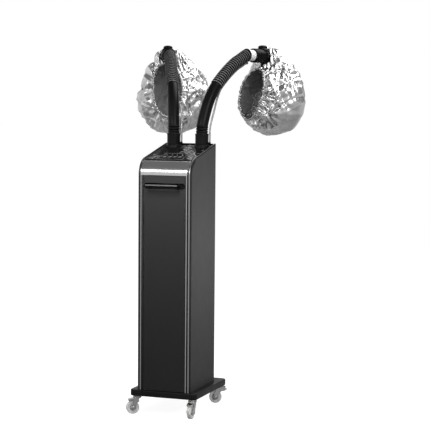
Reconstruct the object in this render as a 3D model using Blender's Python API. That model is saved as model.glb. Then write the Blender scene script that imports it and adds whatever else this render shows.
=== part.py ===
# Hair steamer on casters: a slim cabinet with two hoses, each carrying a hanging bonnet.
# Metres, +Z up. X is to the right and Y to the back. The origin is on the floor under the cabinet's centre.
import math

import bmesh
import bpy
from mathutils import Matrix
from mathutils import Vector

# Clearances
FIT = 0.0003
DOOR_GAP = 0.0015
OVERCUT = 0.010
LAP = 0.001

# Base plate and casters
BASE_WIDTH = 0.268
BASE_FRONT = -0.144
BASE_REAR = 0.209
BASE_THICK = 0.024
BASE_CORNER_R = 0.022
BASE_EDGE = 0.004
BASE_BOTTOM = 0.072
STEM_INSET = 0.020
STEM_R = 0.005
STEM_LENGTH = 0.016
WHEEL_R = 0.025
WHEEL_HALF = 0.009
TRAIL = 0.018
AXLE_R = 0.004
AXLE_HEAD_R = 0.0065
AXLE_HEAD = 0.003
WHEEL_DISH = 0.003
WHEEL_SHOULDER = 0.004
TREAD_DEPTH = 0.007
HUB_RIM = 0.002
FORK_PLATE = 0.003
FORK_SIDE_GAP = 0.0015
FORK_DISC_R = 0.0165
FORK_DISC_H = 0.010
FORK_LEG_IN = 0.004
EAR_DEPTH = 0.010
EAR_THROAT = 0.014
BRAKE_PIVOT_OUT = 0.017
BRAKE_PIVOT_R = 0.0035
BRAKE_LEVER = 0.011
BRAKE_DROP = 0.003
BRAKE_THICK = 0.003

# Cabinet shell
CABINET_WIDTH = 0.210
CABINET_FRONT = -0.142
CABINET_REAR = 0.142
CABINET_TOP_REAR = 1.039
TOP_SLOPE = math.radians(12.3)
CORNER_R = 0.066
SIDE_THICK = 0.0095
TRIM_THICK = 0.005
TRIM_EDGE = 0.0012
TOP_INSET = 0.005
TOP_THICK = 0.004
REAR_THICK = 0.003
SLOT_COUNT = 7
SLOT_LENGTH = 0.100
SLOT_HEIGHT = 0.006
SLOT_PITCH = 0.016
SLOT_LOWEST = 0.560

# Front frame and door
FRAME_INSET = 0.004
FRAME_SHEET = 0.0025
FRAME_SIDE_GAP = 0.004
STRIP_WIDTH = 0.0045
BAND_EAR_ANGLE = math.radians(20)
BAND_SWEEP = math.radians(58)
DOOR_THICK = 0.016
DOOR_EDGE = 0.002
HINGE_IN = 0.007
HINGE_BACK = 0.005
HINGE_PIN_R = 0.002
HINGE_PIN_DEPTH = 0.012
HINGE_PLATE = 0.003
HINGE_PLATE_DEPTH = 0.018
CUP_FROM_DOOR_SIDE = 0.0025
CUP_HEIGHT = 0.022
CUP_DEPTH = 0.007
CUP_WALL = 0.0015
CUP_BELOW_DOOR_TOP = 0.039
BAR_FROM_CUP_SIDE = 0.015
BAR_HEIGHT = 0.010
BAR_DEPTH = 0.009
BAR_OUT = 0.026
BAR_ROUND = 0.0025
POST_R = 0.004
POST_IN = 0.010

# Controls on the top panel
OVERLAY_THICK = 0.001
OVERLAY_FRONT = 0.046
OVERLAY_LENGTH = 0.087
OVERLAY_FRONT_WIDTH = 0.110
OVERLAY_REAR_WIDTH = 0.086
BUTTON_COUNT = 4
BUTTON_PITCH = 0.021
BUTTON_WIDTH = 0.014
BUTTON_LENGTH = 0.010
BUTTON_PROUD = 0.0014
BUTTON_LIP = 0.0015
BUTTON_LIP_THICK = 0.0015
BUTTON_FROM_FRONT = 0.030
BOARD_DROP = 0.012
BOARD_THICK = 0.002
BOARD_WIDTH = 0.120
BOARD_LENGTH = 0.080
BOARD_POST_R = 0.003
BOARD_POST_IN = 0.008
BOARD_POST_FRONT_IN = 0.012

# Hoses and hoods
CUFF_FROM_SIDE = 0.046
CUFF_Y = 0.108
CUFF_R = 0.026
CUFF_RIM_R = 0.0268
CUFF_RIM = 0.006
CUFF_RISE = 0.05053
SOCKET_FLANGE_R = 0.030
SOCKET_BELOW = 0.050
HOSE_IN_CUFF = 0.017
HOSE_R = 0.0225
HOSE_BORE_R = 0.019
RIB_CREST_R = 0.0245
RIB_VALLEY_R = 0.0215
RIB_COUNT = 20
RIB_ROUND_POINTS = 2
ANKLE_RIBS = 3
ANKLE_RIB_PITCH = 0.009
ANKLE_GAP = 0.004
SLEEVE_LENGTH = 0.240
SLEEVE_POINTS = 10
BORE_STEP = 0.022
END_RUN = 0.0015
# The angle of each hose from straight back.
HOSE_SPLAY = {"left": math.radians(25.5), "right": math.radians(23.5)}
# The hose's centre line in its own upright plane: reach from the cuff's axis, height over the cuff's top.
HOSE_ROUTE = (
    (0.0, -HOSE_IN_CUFF),
    (0.0, 0.004),
    (0.002, 0.028),
    (0.0105, 0.060),
    (0.0350, 0.1220),
    (0.0680, 0.1750),
    (0.1013, 0.2101),
    (0.1450, 0.2475),
    (0.1881, 0.2780),
    (0.2176, 0.2925),
    (0.2380, 0.3035),
    (0.2540, 0.3110),
    (0.2600, 0.3110),
    (0.2660, 0.3110),
)
COLLAR_BEHIND = 0.005
COLLAR_AHEAD = 0.036
COLLAR_R = 0.0225
COLLAR_BORE_R = 0.014
CYLINDER_START = 0.026
CYLINDER_LENGTH = 0.078
CYLINDER_R = 0.0285
CYLINDER_WALL = 0.003
CYLINDER_EDGE = 0.002
CAP_LENGTH = 0.003
CAP_PLUG = 0.006
STEAM_PORT_R = 0.010
STRAP_WIDTH = 0.010
STRAP_THICK = 0.002
STRAP_TAIL = 0.018
KNOB_R = 0.0155
KNOB_HEIGHT = 0.0125
KNOB_FROM_END = 0.0165
TUBE_R = 0.003
TUBE_OFFSET = 0.033
TUBE_LUG_DROP = 0.0385
TUBE_LUG_HEIGHT = 0.006
TUBE_LUG_HALF = 0.005
TUBE_STRAIGHT = 0.022
TUBE_STATIONS = 20
TUBE_FROM_CUFF = 0.012
TUBE_TOUCHES_AT = 0.55
TUBE_HOSE_GAP = 0.0006
TUBE_END_GAP = 0.004

# Bonnets: heights are from the arm's axis, with the rings from the top down, as height, reach, half width,
# half depth and share of the hang.
BONNET_WALL = 0.004
BONNET_TOP = 0.0345
BONNET_RINGS = (
    (0.0295, 0.393, 0.030, 0.020, 0.1),
    (0.016, 0.395, 0.050, 0.031, 0.3),
    (-0.003, 0.399, 0.067, 0.037, 0.5),
    (-0.043, 0.414, 0.098, 0.052, 0.9),
    (-0.088, 0.416, 0.127, 0.092, 1.0),
    (-0.138, 0.415, 0.146, 0.109, 1.0),
    (-0.188, 0.412, 0.152, 0.112, 1.0),
    (-0.238, 0.411, 0.142, 0.105, 1.0),
    (-0.283, 0.412, 0.112, 0.084, 1.0),
    (-0.311, 0.413, 0.073, 0.055, 1.0),
)
BONNET_BOTTOM = -0.324
BONNET_SIDES = 24
# How far each bag hangs to the right of its arm, and how far its mouth lies to the right of the arm.
BONNET_HANG = {"left": 0.031, "right": 0.003}
MOUTH_SHIFT = {"left": 0.008, "right": -0.020}
BONNET_MOUTH_Z = -0.152
BONNET_MOUTH_HALF_WIDTH = 0.057
BONNET_MOUTH_HALF_HEIGHT = 0.096
BONNET_NECK_GAP = 0.0004

# Inside the cabinet
SHELF_Z = 0.520
SHELF_THICK = 0.003
SHELF_FRONT_GAP = 0.020
TANK_WIDTH = 0.150
TANK_DEPTH = 0.140
TANK_HEIGHT = 0.240
TANK_WALL = 0.003
TANK_FRONT_GAP = 0.022
TANK_NECK_R = 0.020
TANK_NECK_HEIGHT = 0.014
TANK_CAP_R = 0.025
TANK_CAP_HEIGHT = 0.016
BOILER_R = 0.060
BOILER_HEIGHT = 0.280
BOILER_Y = 0.010
BOILER_DOME = 0.020
BOILER_WALL = 0.002
DUCT_R = 0.015
DUCT_BORE_R = 0.012
DUCT_BEND_POINTS = 10
DUCT_PORT_X = 0.026
DUCT_PORT_Y = 0.018
FEED_R = 0.004
FEED_X = 0.0
INLET_X = 0.045
INLET_Z = 0.220
INLET_WIDTH = 0.030
INLET_HEIGHT = 0.052
INLET_DEPTH = 0.026
INLET_FLANGE = 0.004
INLET_FLANGE_THICK = 0.002
INLET_WALL = 0.002
SOCKET_POCKET = 0.022
ROCKER_HEIGHT = 0.018
ROCKER_WIDTH = 0.012
ROCKER_DEPTH = 0.008

# Values worked out from the ones above
CABINET_BOTTOM = BASE_BOTTOM + BASE_THICK
SIDE_INNER_X = CABINET_WIDTH / 2 - SIDE_THICK
STRIP_OUTER_X = SIDE_INNER_X - FRAME_SIDE_GAP
STRIP_INNER_X = STRIP_OUTER_X - STRIP_WIDTH
DOOR_HALF = STRIP_INNER_X - DOOR_GAP
DOOR_FRONT = CABINET_FRONT + FRAME_INSET
CUP_WIDTH = 2 * (DOOR_HALF - CUP_FROM_DOOR_SIDE)
BAR_LENGTH = CUP_WIDTH - 2 * BAR_FROM_CUP_SIDE
CORNER_Y = CABINET_FRONT + CORNER_R
CUFF_X = CABINET_WIDTH / 2 - CUFF_FROM_SIDE
ARM_HEIGHT = HOSE_ROUTE[-1][1]
END_TILT = math.atan2(HOSE_ROUTE[-1][1] - HOSE_ROUTE[-2][1], HOSE_ROUTE[-1][0] - HOSE_ROUTE[-2][0])
SIDES = (("left", -1), ("right", 1))


def slope_z(y, inset=0.0):
    return CABINET_TOP_REAR - (CABINET_REAR - y) * math.tan(TOP_SLOPE) - inset / math.cos(TOP_SLOPE)


CUFF_TOP = slope_z(CUFF_Y, TOP_INSET) + CUFF_RISE
CORNER_Z = slope_z(CORNER_Y, CORNER_R)
DOOR_TOP = CORNER_Z - DOOR_GAP
DOOR_BOTTOM = CABINET_BOTTOM + DOOR_GAP


def clear_scene():
    for item in list(bpy.data.objects):
        bpy.data.objects.remove(item, do_unlink=True)


def principled(name, colour, roughness, metallic=0.0, alpha=1.0):
    material = bpy.data.materials.new(name)
    material.use_nodes = True
    shader = material.node_tree.nodes["Principled BSDF"]
    shader.inputs["Base Color"].default_value = (*colour, 1.0)
    shader.inputs["Roughness"].default_value = roughness
    shader.inputs["Metallic"].default_value = metallic
    shader.inputs["Alpha"].default_value = alpha
    material.diffuse_color = (*colour, alpha)
    return material


def place(name, mesh, material=None, parent=None, at=(0, 0, 0), turn=(0, 0, 0)):
    item = bpy.data.objects.new(name, mesh)
    bpy.context.scene.collection.objects.link(item)
    item.location = at
    item.rotation_euler = turn
    item.parent = parent
    if material:
        item.data.materials.append(material)
    return item


def frame_empty(name, at, turn=(0, 0, 0), parent=None):
    return place(name, None, None, parent, at, turn)


def finish_mesh(shape, name, smooth_angle=math.radians(35)):
    bmesh.ops.remove_doubles(shape, verts=shape.verts, dist=1e-6)
    bmesh.ops.recalc_face_normals(shape, faces=shape.faces)
    mesh = bpy.data.meshes.new(name)
    shape.to_mesh(mesh)
    shape.free()
    mesh.shade_smooth()
    mesh.set_sharp_from_angle(angle=smooth_angle)
    return mesh


def box(name, low, high):
    shape = bmesh.new()
    size = Vector(high) - Vector(low)
    middle = (Vector(high) + Vector(low)) / 2
    matrix = Matrix.Translation(middle) @ Matrix.Diagonal((*size, 1.0))
    bmesh.ops.create_cube(shape, size=1.0, matrix=matrix)
    return finish_mesh(shape, name)


def prism(name, outline, low, high, axis="Z"):
    """A flat outline pushed along an axis. The outline's two numbers are the other two axes, in order."""
    orders = {"X": lambda a, b, c: (c, a, b), "Y": lambda a, b, c: (a, c, b), "Z": lambda a, b, c: (a, b, c)}
    order = orders[axis]
    shape = bmesh.new()
    face = shape.faces.new([shape.verts.new(order(a, b, low)) for a, b in outline])
    pushed = bmesh.ops.extrude_face_region(shape, geom=[face])
    moved = [part for part in pushed["geom"] if isinstance(part, bmesh.types.BMVert)]
    bmesh.ops.translate(shape, verts=moved, vec=order(0, 0, high - low))
    return finish_mesh(shape, name)


def turned(name, profile, segments=24, closed=False):
    """A profile of (radius, height) points spun about Z: closed for a ring, or with its ends on the axis."""
    shape = bmesh.new()
    verts = [shape.verts.new((radius, 0, height)) for radius, height in profile]
    ends = verts[1:] + verts[:1] if closed else verts[1:]
    edges = [shape.edges.new(pair) for pair in zip(verts, ends)]
    bmesh.ops.spin(
        shape,
        geom=verts + edges,
        cent=(0, 0, 0),
        axis=(0, 0, 1),
        angle=math.tau,
        steps=segments,
        use_merge=True,
    )
    return finish_mesh(shape, name)


def rod(name, radius, low, high, segments=24):
    return turned(name, [(0, low), (radius, low), (radius, high), (0, high)], segments)


def swept(name, points, radius, shares=None, resolution=2):
    """A round tube with closed ends along points, each with its own share of the radius."""
    curve = bpy.data.curves.new(name, "CURVE")
    curve.dimensions = "3D"
    curve.bevel_depth = radius
    curve.bevel_resolution = resolution
    curve.use_fill_caps = True
    spline = curve.splines.new("POLY")
    spline.points.add(len(points) - 1)
    for number, point in enumerate(points):
        spline.points[number].co = (*point, 1.0)
        spline.points[number].radius = shares[number] if shares else 1.0
    item = place(name, curve)
    graph = bpy.context.evaluated_depsgraph_get()
    mesh = bpy.data.meshes.new_from_object(item.evaluated_get(graph))
    bpy.data.objects.remove(item)
    shape = bmesh.new()
    shape.from_mesh(mesh)
    return finish_mesh(shape, name)


def combine(target, mesh, operation, parent=None, at=(0, 0, 0), turn=(0, 0, 0)):
    """Joins a shape to the target, or cuts it out, with a Boolean modifier and a hidden tool object."""
    tool = place(mesh.name + "_tool", mesh, None, parent, at, turn)
    tool.hide_render = True
    tool.display_type = "WIRE"
    modifier = target.modifiers.new(mesh.name, "BOOLEAN")
    modifier.operation = operation
    modifier.solver = "EXACT"
    modifier.object = tool


def round_edges(item, width, segments=2, angle=math.radians(40)):
    modifier = item.modifiers.new("round", "BEVEL")
    modifier.width = width
    modifier.segments = segments
    modifier.limit_method = "ANGLE"
    modifier.angle_limit = angle


def rounded_rectangle(low, high, radius, steps=5):
    corners = (
        (high[0] - radius, high[1] - radius, 0),
        (low[0] + radius, high[1] - radius, 90),
        (low[0] + radius, low[1] + radius, 180),
        (high[0] - radius, low[1] + radius, 270),
    )
    outline = []
    for x, y, start in corners:
        for step in range(steps + 1):
            angle = math.radians(start + 90 * step / steps)
            outline.append((x + radius * math.cos(angle), y + radius * math.sin(angle)))
    return outline


def corner_arc(inset, start, end, steps):
    """Points of the shell's front-top corner, as (y, z), with angles from the front towards the top."""
    radius = CORNER_R - inset
    points = []
    for step in range(steps + 1):
        angle = start + (end - start) * step / steps
        points.append((CORNER_Y - radius * math.cos(angle), CORNER_Z + radius * math.sin(angle)))
    return points


def side_line(inset, bottom):
    """The shell's side view from the front's foot, round the corner and up to the rear, as (y, z)."""
    arc = corner_arc(inset, 0, math.pi / 2 - TOP_SLOPE, 8)
    return [(CABINET_FRONT + inset, bottom), *arc, (CABINET_REAR, slope_z(CABINET_REAR, inset))]


def smooth_route(route, steps):
    """Points on a smooth curve through the route's points."""
    points = [Vector(point) for point in route]
    before = points[0] * 2 - points[1]
    after = points[-1] * 2 - points[-2]
    chain = [before, *points, after]
    result = []
    for index in range(1, len(chain) - 2):
        p0, p1, p2, p3 = chain[index - 1:index + 3]
        for step in range(steps):
            t = step / steps
            bend = 2 * p0 - 5 * p1 + 4 * p2 - p3
            twist = 3 * p1 - p0 - 3 * p2 + p3
            result.append(0.5 * (2 * p1 + (p2 - p0) * t + bend * t ** 2 + twist * t ** 3))
    return [*result, points[-1]]


class Route:
    """A smooth curve with its length, so that a place on it is found by how far along it lies."""

    def __init__(self, route):
        self.points = smooth_route(route, 16)
        self.reach = [0.0]
        for first, second in zip(self.points, self.points[1:]):
            self.reach.append(self.reach[-1] + (second - first).length)
        self.length = self.reach[-1]

    def at(self, distance):
        for index in range(1, len(self.points)):
            if self.reach[index] >= distance or index == len(self.points) - 1:
                span = self.reach[index] - self.reach[index - 1]
                share = (distance - self.reach[index - 1]) / span
                return self.points[index - 1].lerp(self.points[index], share)

    def ahead(self, distance):
        step = 0.001
        near = self.at(max(distance - step, 0.0))
        far = self.at(min(distance + step, self.length))
        return (far - near).normalized()


def base_plate(looks):
    shape = bmesh.new()
    rings = []
    edge_steps = ((0.0, BASE_BOTTOM), (0.0, CABINET_BOTTOM - BASE_EDGE), (BASE_EDGE, CABINET_BOTTOM))
    for inset, height in edge_steps:
        ring = rounded_rectangle(
            (-BASE_WIDTH / 2 + inset, BASE_FRONT + inset),
            (BASE_WIDTH / 2 - inset, BASE_REAR - inset),
            BASE_CORNER_R - inset,
        )
        rings.append([shape.verts.new((x, y, height)) for x, y in ring])
    count = len(rings[0])
    for low, high in zip(rings, rings[1:]):
        for index in range(count):
            shape.faces.new((low[index], low[(index + 1) % count], high[(index + 1) % count], high[index]))
    shape.faces.new(rings[0])
    shape.faces.new(rings[-1])
    plate = place("base_plate", finish_mesh(shape, "base_plate"), looks["base"])
    for name, at, _, _ in caster_places():
        hole = rod("stem_hole_" + name, STEM_R + FIT, -OVERCUT, STEM_LENGTH + FIT, 12)
        combine(plate, hole, "DIFFERENCE", None, (*at, BASE_BOTTOM))
    hole = rod("hinge_hole", HINGE_PIN_R + FIT, -HINGE_PIN_DEPTH - FIT, OVERCUT, 12)
    combine(plate, hole, "DIFFERENCE", None, (*hinge_place(), CABINET_BOTTOM))


def caster_places():
    """Name, stem place, the way the wheel trails in degrees from +X, and whether there is a brake."""
    x = BASE_WIDTH / 2 - STEM_INSET
    front = BASE_FRONT + STEM_INSET
    rear = BASE_REAR - STEM_INSET
    return (
        ("front_left", (-x, front), 214, False),
        ("front_right", (x, front), 270, False),
        ("rear_left", (-x, rear), 160, True),
        ("rear_right", (x, rear), 200, True),
    )


def hinge_place():
    return (-DOOR_HALF + HINGE_IN, DOOR_FRONT + HINGE_BACK)


def caster(name, at, trails, braked, looks):
    """A swivel caster. In its own frame the wheel trails towards -Y and the stem stands on the Z axis."""
    turn = (0, 0, math.radians(trails + 90))
    swivel = frame_empty("swivel_" + name, (*at, 0), turn)
    disc_top = BASE_BOTTOM - FIT
    disc_bottom = disc_top - FORK_DISC_H
    leg_inner = WHEEL_HALF + FORK_SIDE_GAP
    leg_outer = leg_inner + FORK_PLATE
    stem_top = BASE_BOTTOM + STEM_LENGTH - FIT
    profile = [(0, disc_bottom), (FORK_DISC_R, disc_bottom), (FORK_DISC_R, disc_top), (STEM_R, disc_top)]
    profile += [(STEM_R, stem_top), (0, stem_top)]
    fork = place("caster_fork_" + name, turned("fork_" + name, profile, 20), looks["chrome"], swivel)
    outline = fork_leg(disc_bottom, braked)
    for side, sign in SIDES:
        low, high = sorted((sign * leg_inner, sign * leg_outer))
        combine(fork, prism("fork_leg_{}_{}".format(side, name), outline, low, high, "X"), "UNION", swivel)
    head = leg_outer + AXLE_HEAD
    neck = leg_outer - LAP
    profile = [(0, -head), (AXLE_HEAD_R, -head), (AXLE_HEAD_R, -neck), (AXLE_R, -neck)]
    profile += [(AXLE_R, neck), (AXLE_HEAD_R, neck), (AXLE_HEAD_R, head), (0, head)]
    across = (0, math.pi / 2, 0)
    centre = (0, -TRAIL, WHEEL_R)
    combine(fork, turned("axle_" + name, profile, 12), "UNION", swivel, centre, across)
    wheel_frame = frame_empty("spin_" + name, centre, across, swivel)
    place("caster_wheel_" + name, wheel_mesh("wheel_" + name), looks["wheel"], wheel_frame)
    if braked:
        brake_lever(name, swivel, disc_bottom, leg_inner, looks)


def fork_leg(disc_bottom, braked):
    """A fork leg's outline as (y, z), from the disc down to the axle, with an ear for the brake's pivot."""
    top = disc_bottom + FORK_LEG_IN
    foot_r = AXLE_HEAD_R + HUB_RIM
    foot = []
    for step in range(5):
        angle = math.radians(160 + 200 * step / 4)
        foot.append((foot_r * math.cos(angle) - TRAIL, foot_r * math.sin(angle) + WHEEL_R))
    front = (-FORK_DISC_R * 0.75, top)
    if not braked:
        return [(FORK_DISC_R * 0.55, top), front, *foot]
    ear = BRAKE_PIVOT_OUT + BRAKE_PIVOT_R + HUB_RIM
    throat = (FORK_DISC_R * 0.2, disc_bottom - EAR_THROAT)
    return [(ear, disc_bottom - EAR_DEPTH), (ear, top), front, *foot, throat]


def wheel_mesh(name):
    hub = AXLE_HEAD_R + HUB_RIM
    half = [
        (AXLE_R + FIT, WHEEL_HALF),
        (hub, WHEEL_HALF),
        (hub + LAP, WHEEL_HALF - WHEEL_DISH),
        (WHEEL_R - TREAD_DEPTH, WHEEL_HALF - WHEEL_DISH),
        (WHEEL_R - WHEEL_SHOULDER, WHEEL_HALF - LAP),
        (WHEEL_R, WHEEL_HALF - WHEEL_SHOULDER),
    ]
    other = [(radius, -height) for radius, height in reversed(half)]
    return turned(name, half + other, 20, True)


def brake_lever(name, swivel, disc_bottom, leg_inner, looks):
    """The foot lever between the fork's ears, with its origin on its pivot."""
    half = leg_inner - FIT
    low = -BRAKE_THICK / 2
    centre = (0, BRAKE_PIVOT_OUT, disc_bottom - BRAKE_PIVOT_R - FIT)
    pivot = frame_empty("brake_pivot_" + name, centre, (0, 0, 0), swivel)
    boss = rod("brake_boss_" + name, BRAKE_PIVOT_R, -half, half, 12)
    boss.transform(Matrix.Rotation(math.pi / 2, 4, "Y"))
    lever = place("brake_lever_" + name, boss, looks["chrome"], pivot)
    paddle = [(0, low), (BRAKE_LEVER, low - BRAKE_DROP), (BRAKE_LEVER, -low - BRAKE_DROP), (0, -low)]
    combine(lever, prism("brake_paddle_" + name, paddle, -half * 0.8, half * 0.8, "X"), "UNION", pivot)


def shell(looks):
    inner = TRIM_THICK + FIT
    for side, sign in SIDES:
        low, high = sorted((sign * SIDE_INNER_X, sign * CABINET_WIDTH / 2))
        outline = side_line(inner, CABINET_BOTTOM + FIT) + [(CABINET_REAR, CABINET_BOTTOM + FIT)]
        place("side_panel_" + side, prism("side_panel_" + side, outline, low, high, "X"), looks["side"])
        under = list(reversed(side_line(TRIM_THICK, CABINET_BOTTOM + FIT)))
        strip = side_line(0.0, CABINET_BOTTOM + FIT) + under
        trim = place("edge_trim_" + side, prism("edge_trim_" + side, strip, low, high, "X"), looks["silver"])
        round_edges(trim, TRIM_EDGE)
    rear_panel(looks)


def rear_panel(looks):
    half = SIDE_INNER_X - FIT
    front = CABINET_REAR - REAR_THICK
    top = slope_z(front, TOP_INSET + TOP_THICK) - FIT
    sheet = box("rear_panel", (-half, front, CABINET_BOTTOM + FIT), (half, CABINET_REAR, top))
    panel = place("rear_panel", sheet, looks["side"])
    for number in range(SLOT_COUNT):
        height = SLOT_LOWEST + number * SLOT_PITCH
        slot = box(
            "air_slot_{}".format(number),
            (-SLOT_LENGTH / 2, front - OVERCUT, height),
            (SLOT_LENGTH / 2, CABINET_REAR + OVERCUT, height + SLOT_HEIGHT),
        )
        combine(panel, slot, "DIFFERENCE")
    low, high = inlet_window(FIT)
    rear = CABINET_REAR + OVERCUT
    window = box("inlet_window", (low[0], front - OVERCUT, low[1]), (high[0], rear, high[1]))
    combine(panel, window, "DIFFERENCE")


def inlet_window(grow):
    """The inlet module's body as seen from behind: lower and upper corner in X and Z."""
    low = (INLET_X - INLET_WIDTH / 2 - grow, INLET_Z - INLET_HEIGHT / 2 - grow)
    high = (INLET_X + INLET_WIDTH / 2 + grow, INLET_Z + INLET_HEIGHT / 2 + grow)
    return low, high


def power_inlet(looks):
    low, high = inlet_window(0.0)
    front = CABINET_REAR + INLET_FLANGE_THICK + FIT
    back = CABINET_REAR - INLET_DEPTH
    body = box("power_inlet", (low[0], back, low[1]), (high[0], front, high[1]))
    module = place("power_inlet", body, looks["black"])
    flange_low, flange_high = inlet_window(INLET_FLANGE)
    flange = box(
        "inlet_flange",
        (flange_low[0], CABINET_REAR + FIT, flange_low[1]),
        (flange_high[0], front, flange_high[1]),
    )
    combine(module, flange, "UNION")
    split = high[1] - 2 * INLET_WALL - ROCKER_HEIGHT
    pocket = box(
        "inlet_pocket",
        (low[0] + INLET_WALL, front - SOCKET_POCKET, low[1] + INLET_WALL),
        (high[0] - INLET_WALL, front + OVERCUT, split - INLET_WALL),
    )
    combine(module, pocket, "DIFFERENCE")
    rocker_z = high[1] - INLET_WALL - ROCKER_HEIGHT / 2
    window_half = ROCKER_WIDTH / 2 + FIT
    well = box(
        "rocker_well",
        (INLET_X - window_half, front - ROCKER_DEPTH * 2, rocker_z - ROCKER_HEIGHT / 2 - FIT),
        (INLET_X + window_half, front + OVERCUT, rocker_z + ROCKER_HEIGHT / 2 + FIT),
    )
    combine(module, well, "DIFFERENCE")
    pivot = frame_empty("rocker_pivot", (INLET_X, front - ROCKER_DEPTH * 0.6, rocker_z))
    crown = ROCKER_DEPTH * 0.75
    dip = ROCKER_DEPTH * 0.5
    reach = ROCKER_HEIGHT / 2 - LAP
    outline = [(-dip, -reach * 0.7), (dip, -reach), (crown, 0.0), (dip, reach), (-dip, reach * 0.7)]
    rocker = prism("power_switch", outline, -ROCKER_WIDTH / 2, ROCKER_WIDTH / 2, "X")
    place("power_switch", rocker, looks["black"], pivot)


def top_panel(looks):
    half = SIDE_INNER_X - FIT
    start = BAND_SWEEP + FIT / CORNER_R
    end = math.pi / 2 - TOP_SLOPE
    outer = corner_arc(TOP_INSET, start, end, 3)
    outer.append((CABINET_REAR, slope_z(CABINET_REAR, TOP_INSET)))
    inner = corner_arc(TOP_INSET + TOP_THICK, start, end, 3)
    inner.append((CABINET_REAR, slope_z(CABINET_REAR, TOP_INSET + TOP_THICK)))
    outline = outer + list(reversed(inner))
    panel = place("top_panel", prism("top_panel", outline, -half, half, "X"), looks["gloss"])
    for side, sign in SIDES:
        hole = rod("socket_hole_" + side, HOSE_R + FIT, slope_z(CUFF_Y) - SOCKET_BELOW, CUFF_TOP)
        combine(panel, hole, "DIFFERENCE", None, (sign * CUFF_X, CUFF_Y, 0))
    return panel


def controls(panel, looks):
    """The overlay, the buttons and the control board, in a frame that lies on the top panel's outer face."""
    front_y = CABINET_FRONT + FRAME_INSET + OVERLAY_FRONT
    origin = (0, front_y, slope_z(front_y, TOP_INSET))
    slant = frame_empty("panel_frame", origin, (TOP_SLOPE, 0, 0))
    front_half = OVERLAY_FRONT_WIDTH / 2
    rear_half = OVERLAY_REAR_WIDTH / 2
    rear = OVERLAY_LENGTH
    outline = [(-front_half, 0.0), (front_half, 0.0), (rear_half, rear), (-rear_half, rear)]
    sheet = prism("control_overlay", outline, FIT, FIT + OVERLAY_THICK)
    overlay = place("control_overlay", sheet, looks["overlay"], slant)
    through = TOP_THICK + OVERLAY_THICK + 2 * FIT
    cap_top = FIT + OVERLAY_THICK + BUTTON_PROUD
    for number in range(BUTTON_COUNT):
        x = (number - (BUTTON_COUNT - 1) / 2) * BUTTON_PITCH
        at = (x, BUTTON_FROM_FRONT, 0)
        half_x = BUTTON_WIDTH / 2
        half_y = BUTTON_LENGTH / 2
        hole_low = (-half_x - FIT, -half_y - FIT, -through - LAP)
        hole_high = (half_x + FIT, half_y + FIT, cap_top + LAP)
        for target in (panel, overlay):
            hole = box("{}_button_hole_{}".format(target.name, number + 1), hole_low, hole_high)
            combine(target, hole, "DIFFERENCE", slant, at)
        cap = box("button_{}".format(number + 1), (-half_x, -half_y, -through), (half_x, half_y, cap_top))
        button = place("button_{}".format(number + 1), cap, looks["button"], slant, at)
        lip_low = (-half_x - BUTTON_LIP, -half_y - BUTTON_LIP, -TOP_THICK - FIT - BUTTON_LIP_THICK)
        lip_high = (half_x + BUTTON_LIP, half_y + BUTTON_LIP, -TOP_THICK - FIT)
        combine(button, box("button_lip_{}".format(number + 1), lip_low, lip_high), "UNION", slant, at)
    board_top = -TOP_THICK - BOARD_DROP
    middle = BUTTON_FROM_FRONT
    low = (-BOARD_WIDTH / 2, middle - BOARD_LENGTH / 2, board_top - BOARD_THICK)
    high = (BOARD_WIDTH / 2, middle + BOARD_LENGTH / 2, board_top)
    board = place("control_board", box("control_board", low, high), looks["board"], slant)
    for x in (low[0] + BOARD_POST_IN, high[0] - BOARD_POST_IN):
        for y in (low[1] + BOARD_POST_FRONT_IN, high[1] - BOARD_POST_IN):
            name = "board_post_{:.0f}_{:.0f}".format(x * 1000, y * 1000)
            post = rod(name, BOARD_POST_R, board_top - LAP, -TOP_THICK - FIT, 12)
            combine(board, post, "UNION", slant, (x, y, 0))


def front_frame(looks):
    """One bent sheet: a strip down each side of the door, joined by the band that bends over the top."""
    half = (STRIP_INNER_X, STRIP_OUTER_X, SIDE_INNER_X - FIT)
    columns = [-x for x in reversed(half)] + list(half)
    lower = corner_arc(FRAME_INSET, 0, BAND_EAR_ANGLE, 3)
    upper = corner_arc(FRAME_INSET, BAND_EAR_ANGLE, BAND_SWEEP, 5)
    rows = [(CABINET_FRONT + FRAME_INSET, CABINET_BOTTOM + FIT), *lower, *upper[1:]]
    shape = bmesh.new()
    grid = [[shape.verts.new((x, y, z)) for x in columns] for y, z in rows]
    for row in range(len(rows) - 1):
        if row == 0:
            filled = (1, 3)
        elif row < len(lower):
            filled = (1, 2, 3)
        else:
            filled = (0, 1, 2, 3, 4)
        for column in filled:
            low = grid[row]
            high = grid[row + 1]
            shape.faces.new((low[column], low[column + 1], high[column + 1], high[column]))
    loose = [vert for vert in shape.verts if not vert.link_faces]
    bmesh.ops.delete(shape, geom=loose, context="VERTS")
    frame = place("front_frame", finish_mesh(shape, "front_frame"), looks["silver"])
    for face in frame.data.polygons:
        if face.normal.y > 0.0:
            frame.data.flip_normals()
            break
    sheet = frame.modifiers.new("sheet", "SOLIDIFY")
    sheet.thickness = FRAME_SHEET
    sheet.offset = -1.0
    sheet.use_even_offset = True


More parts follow.
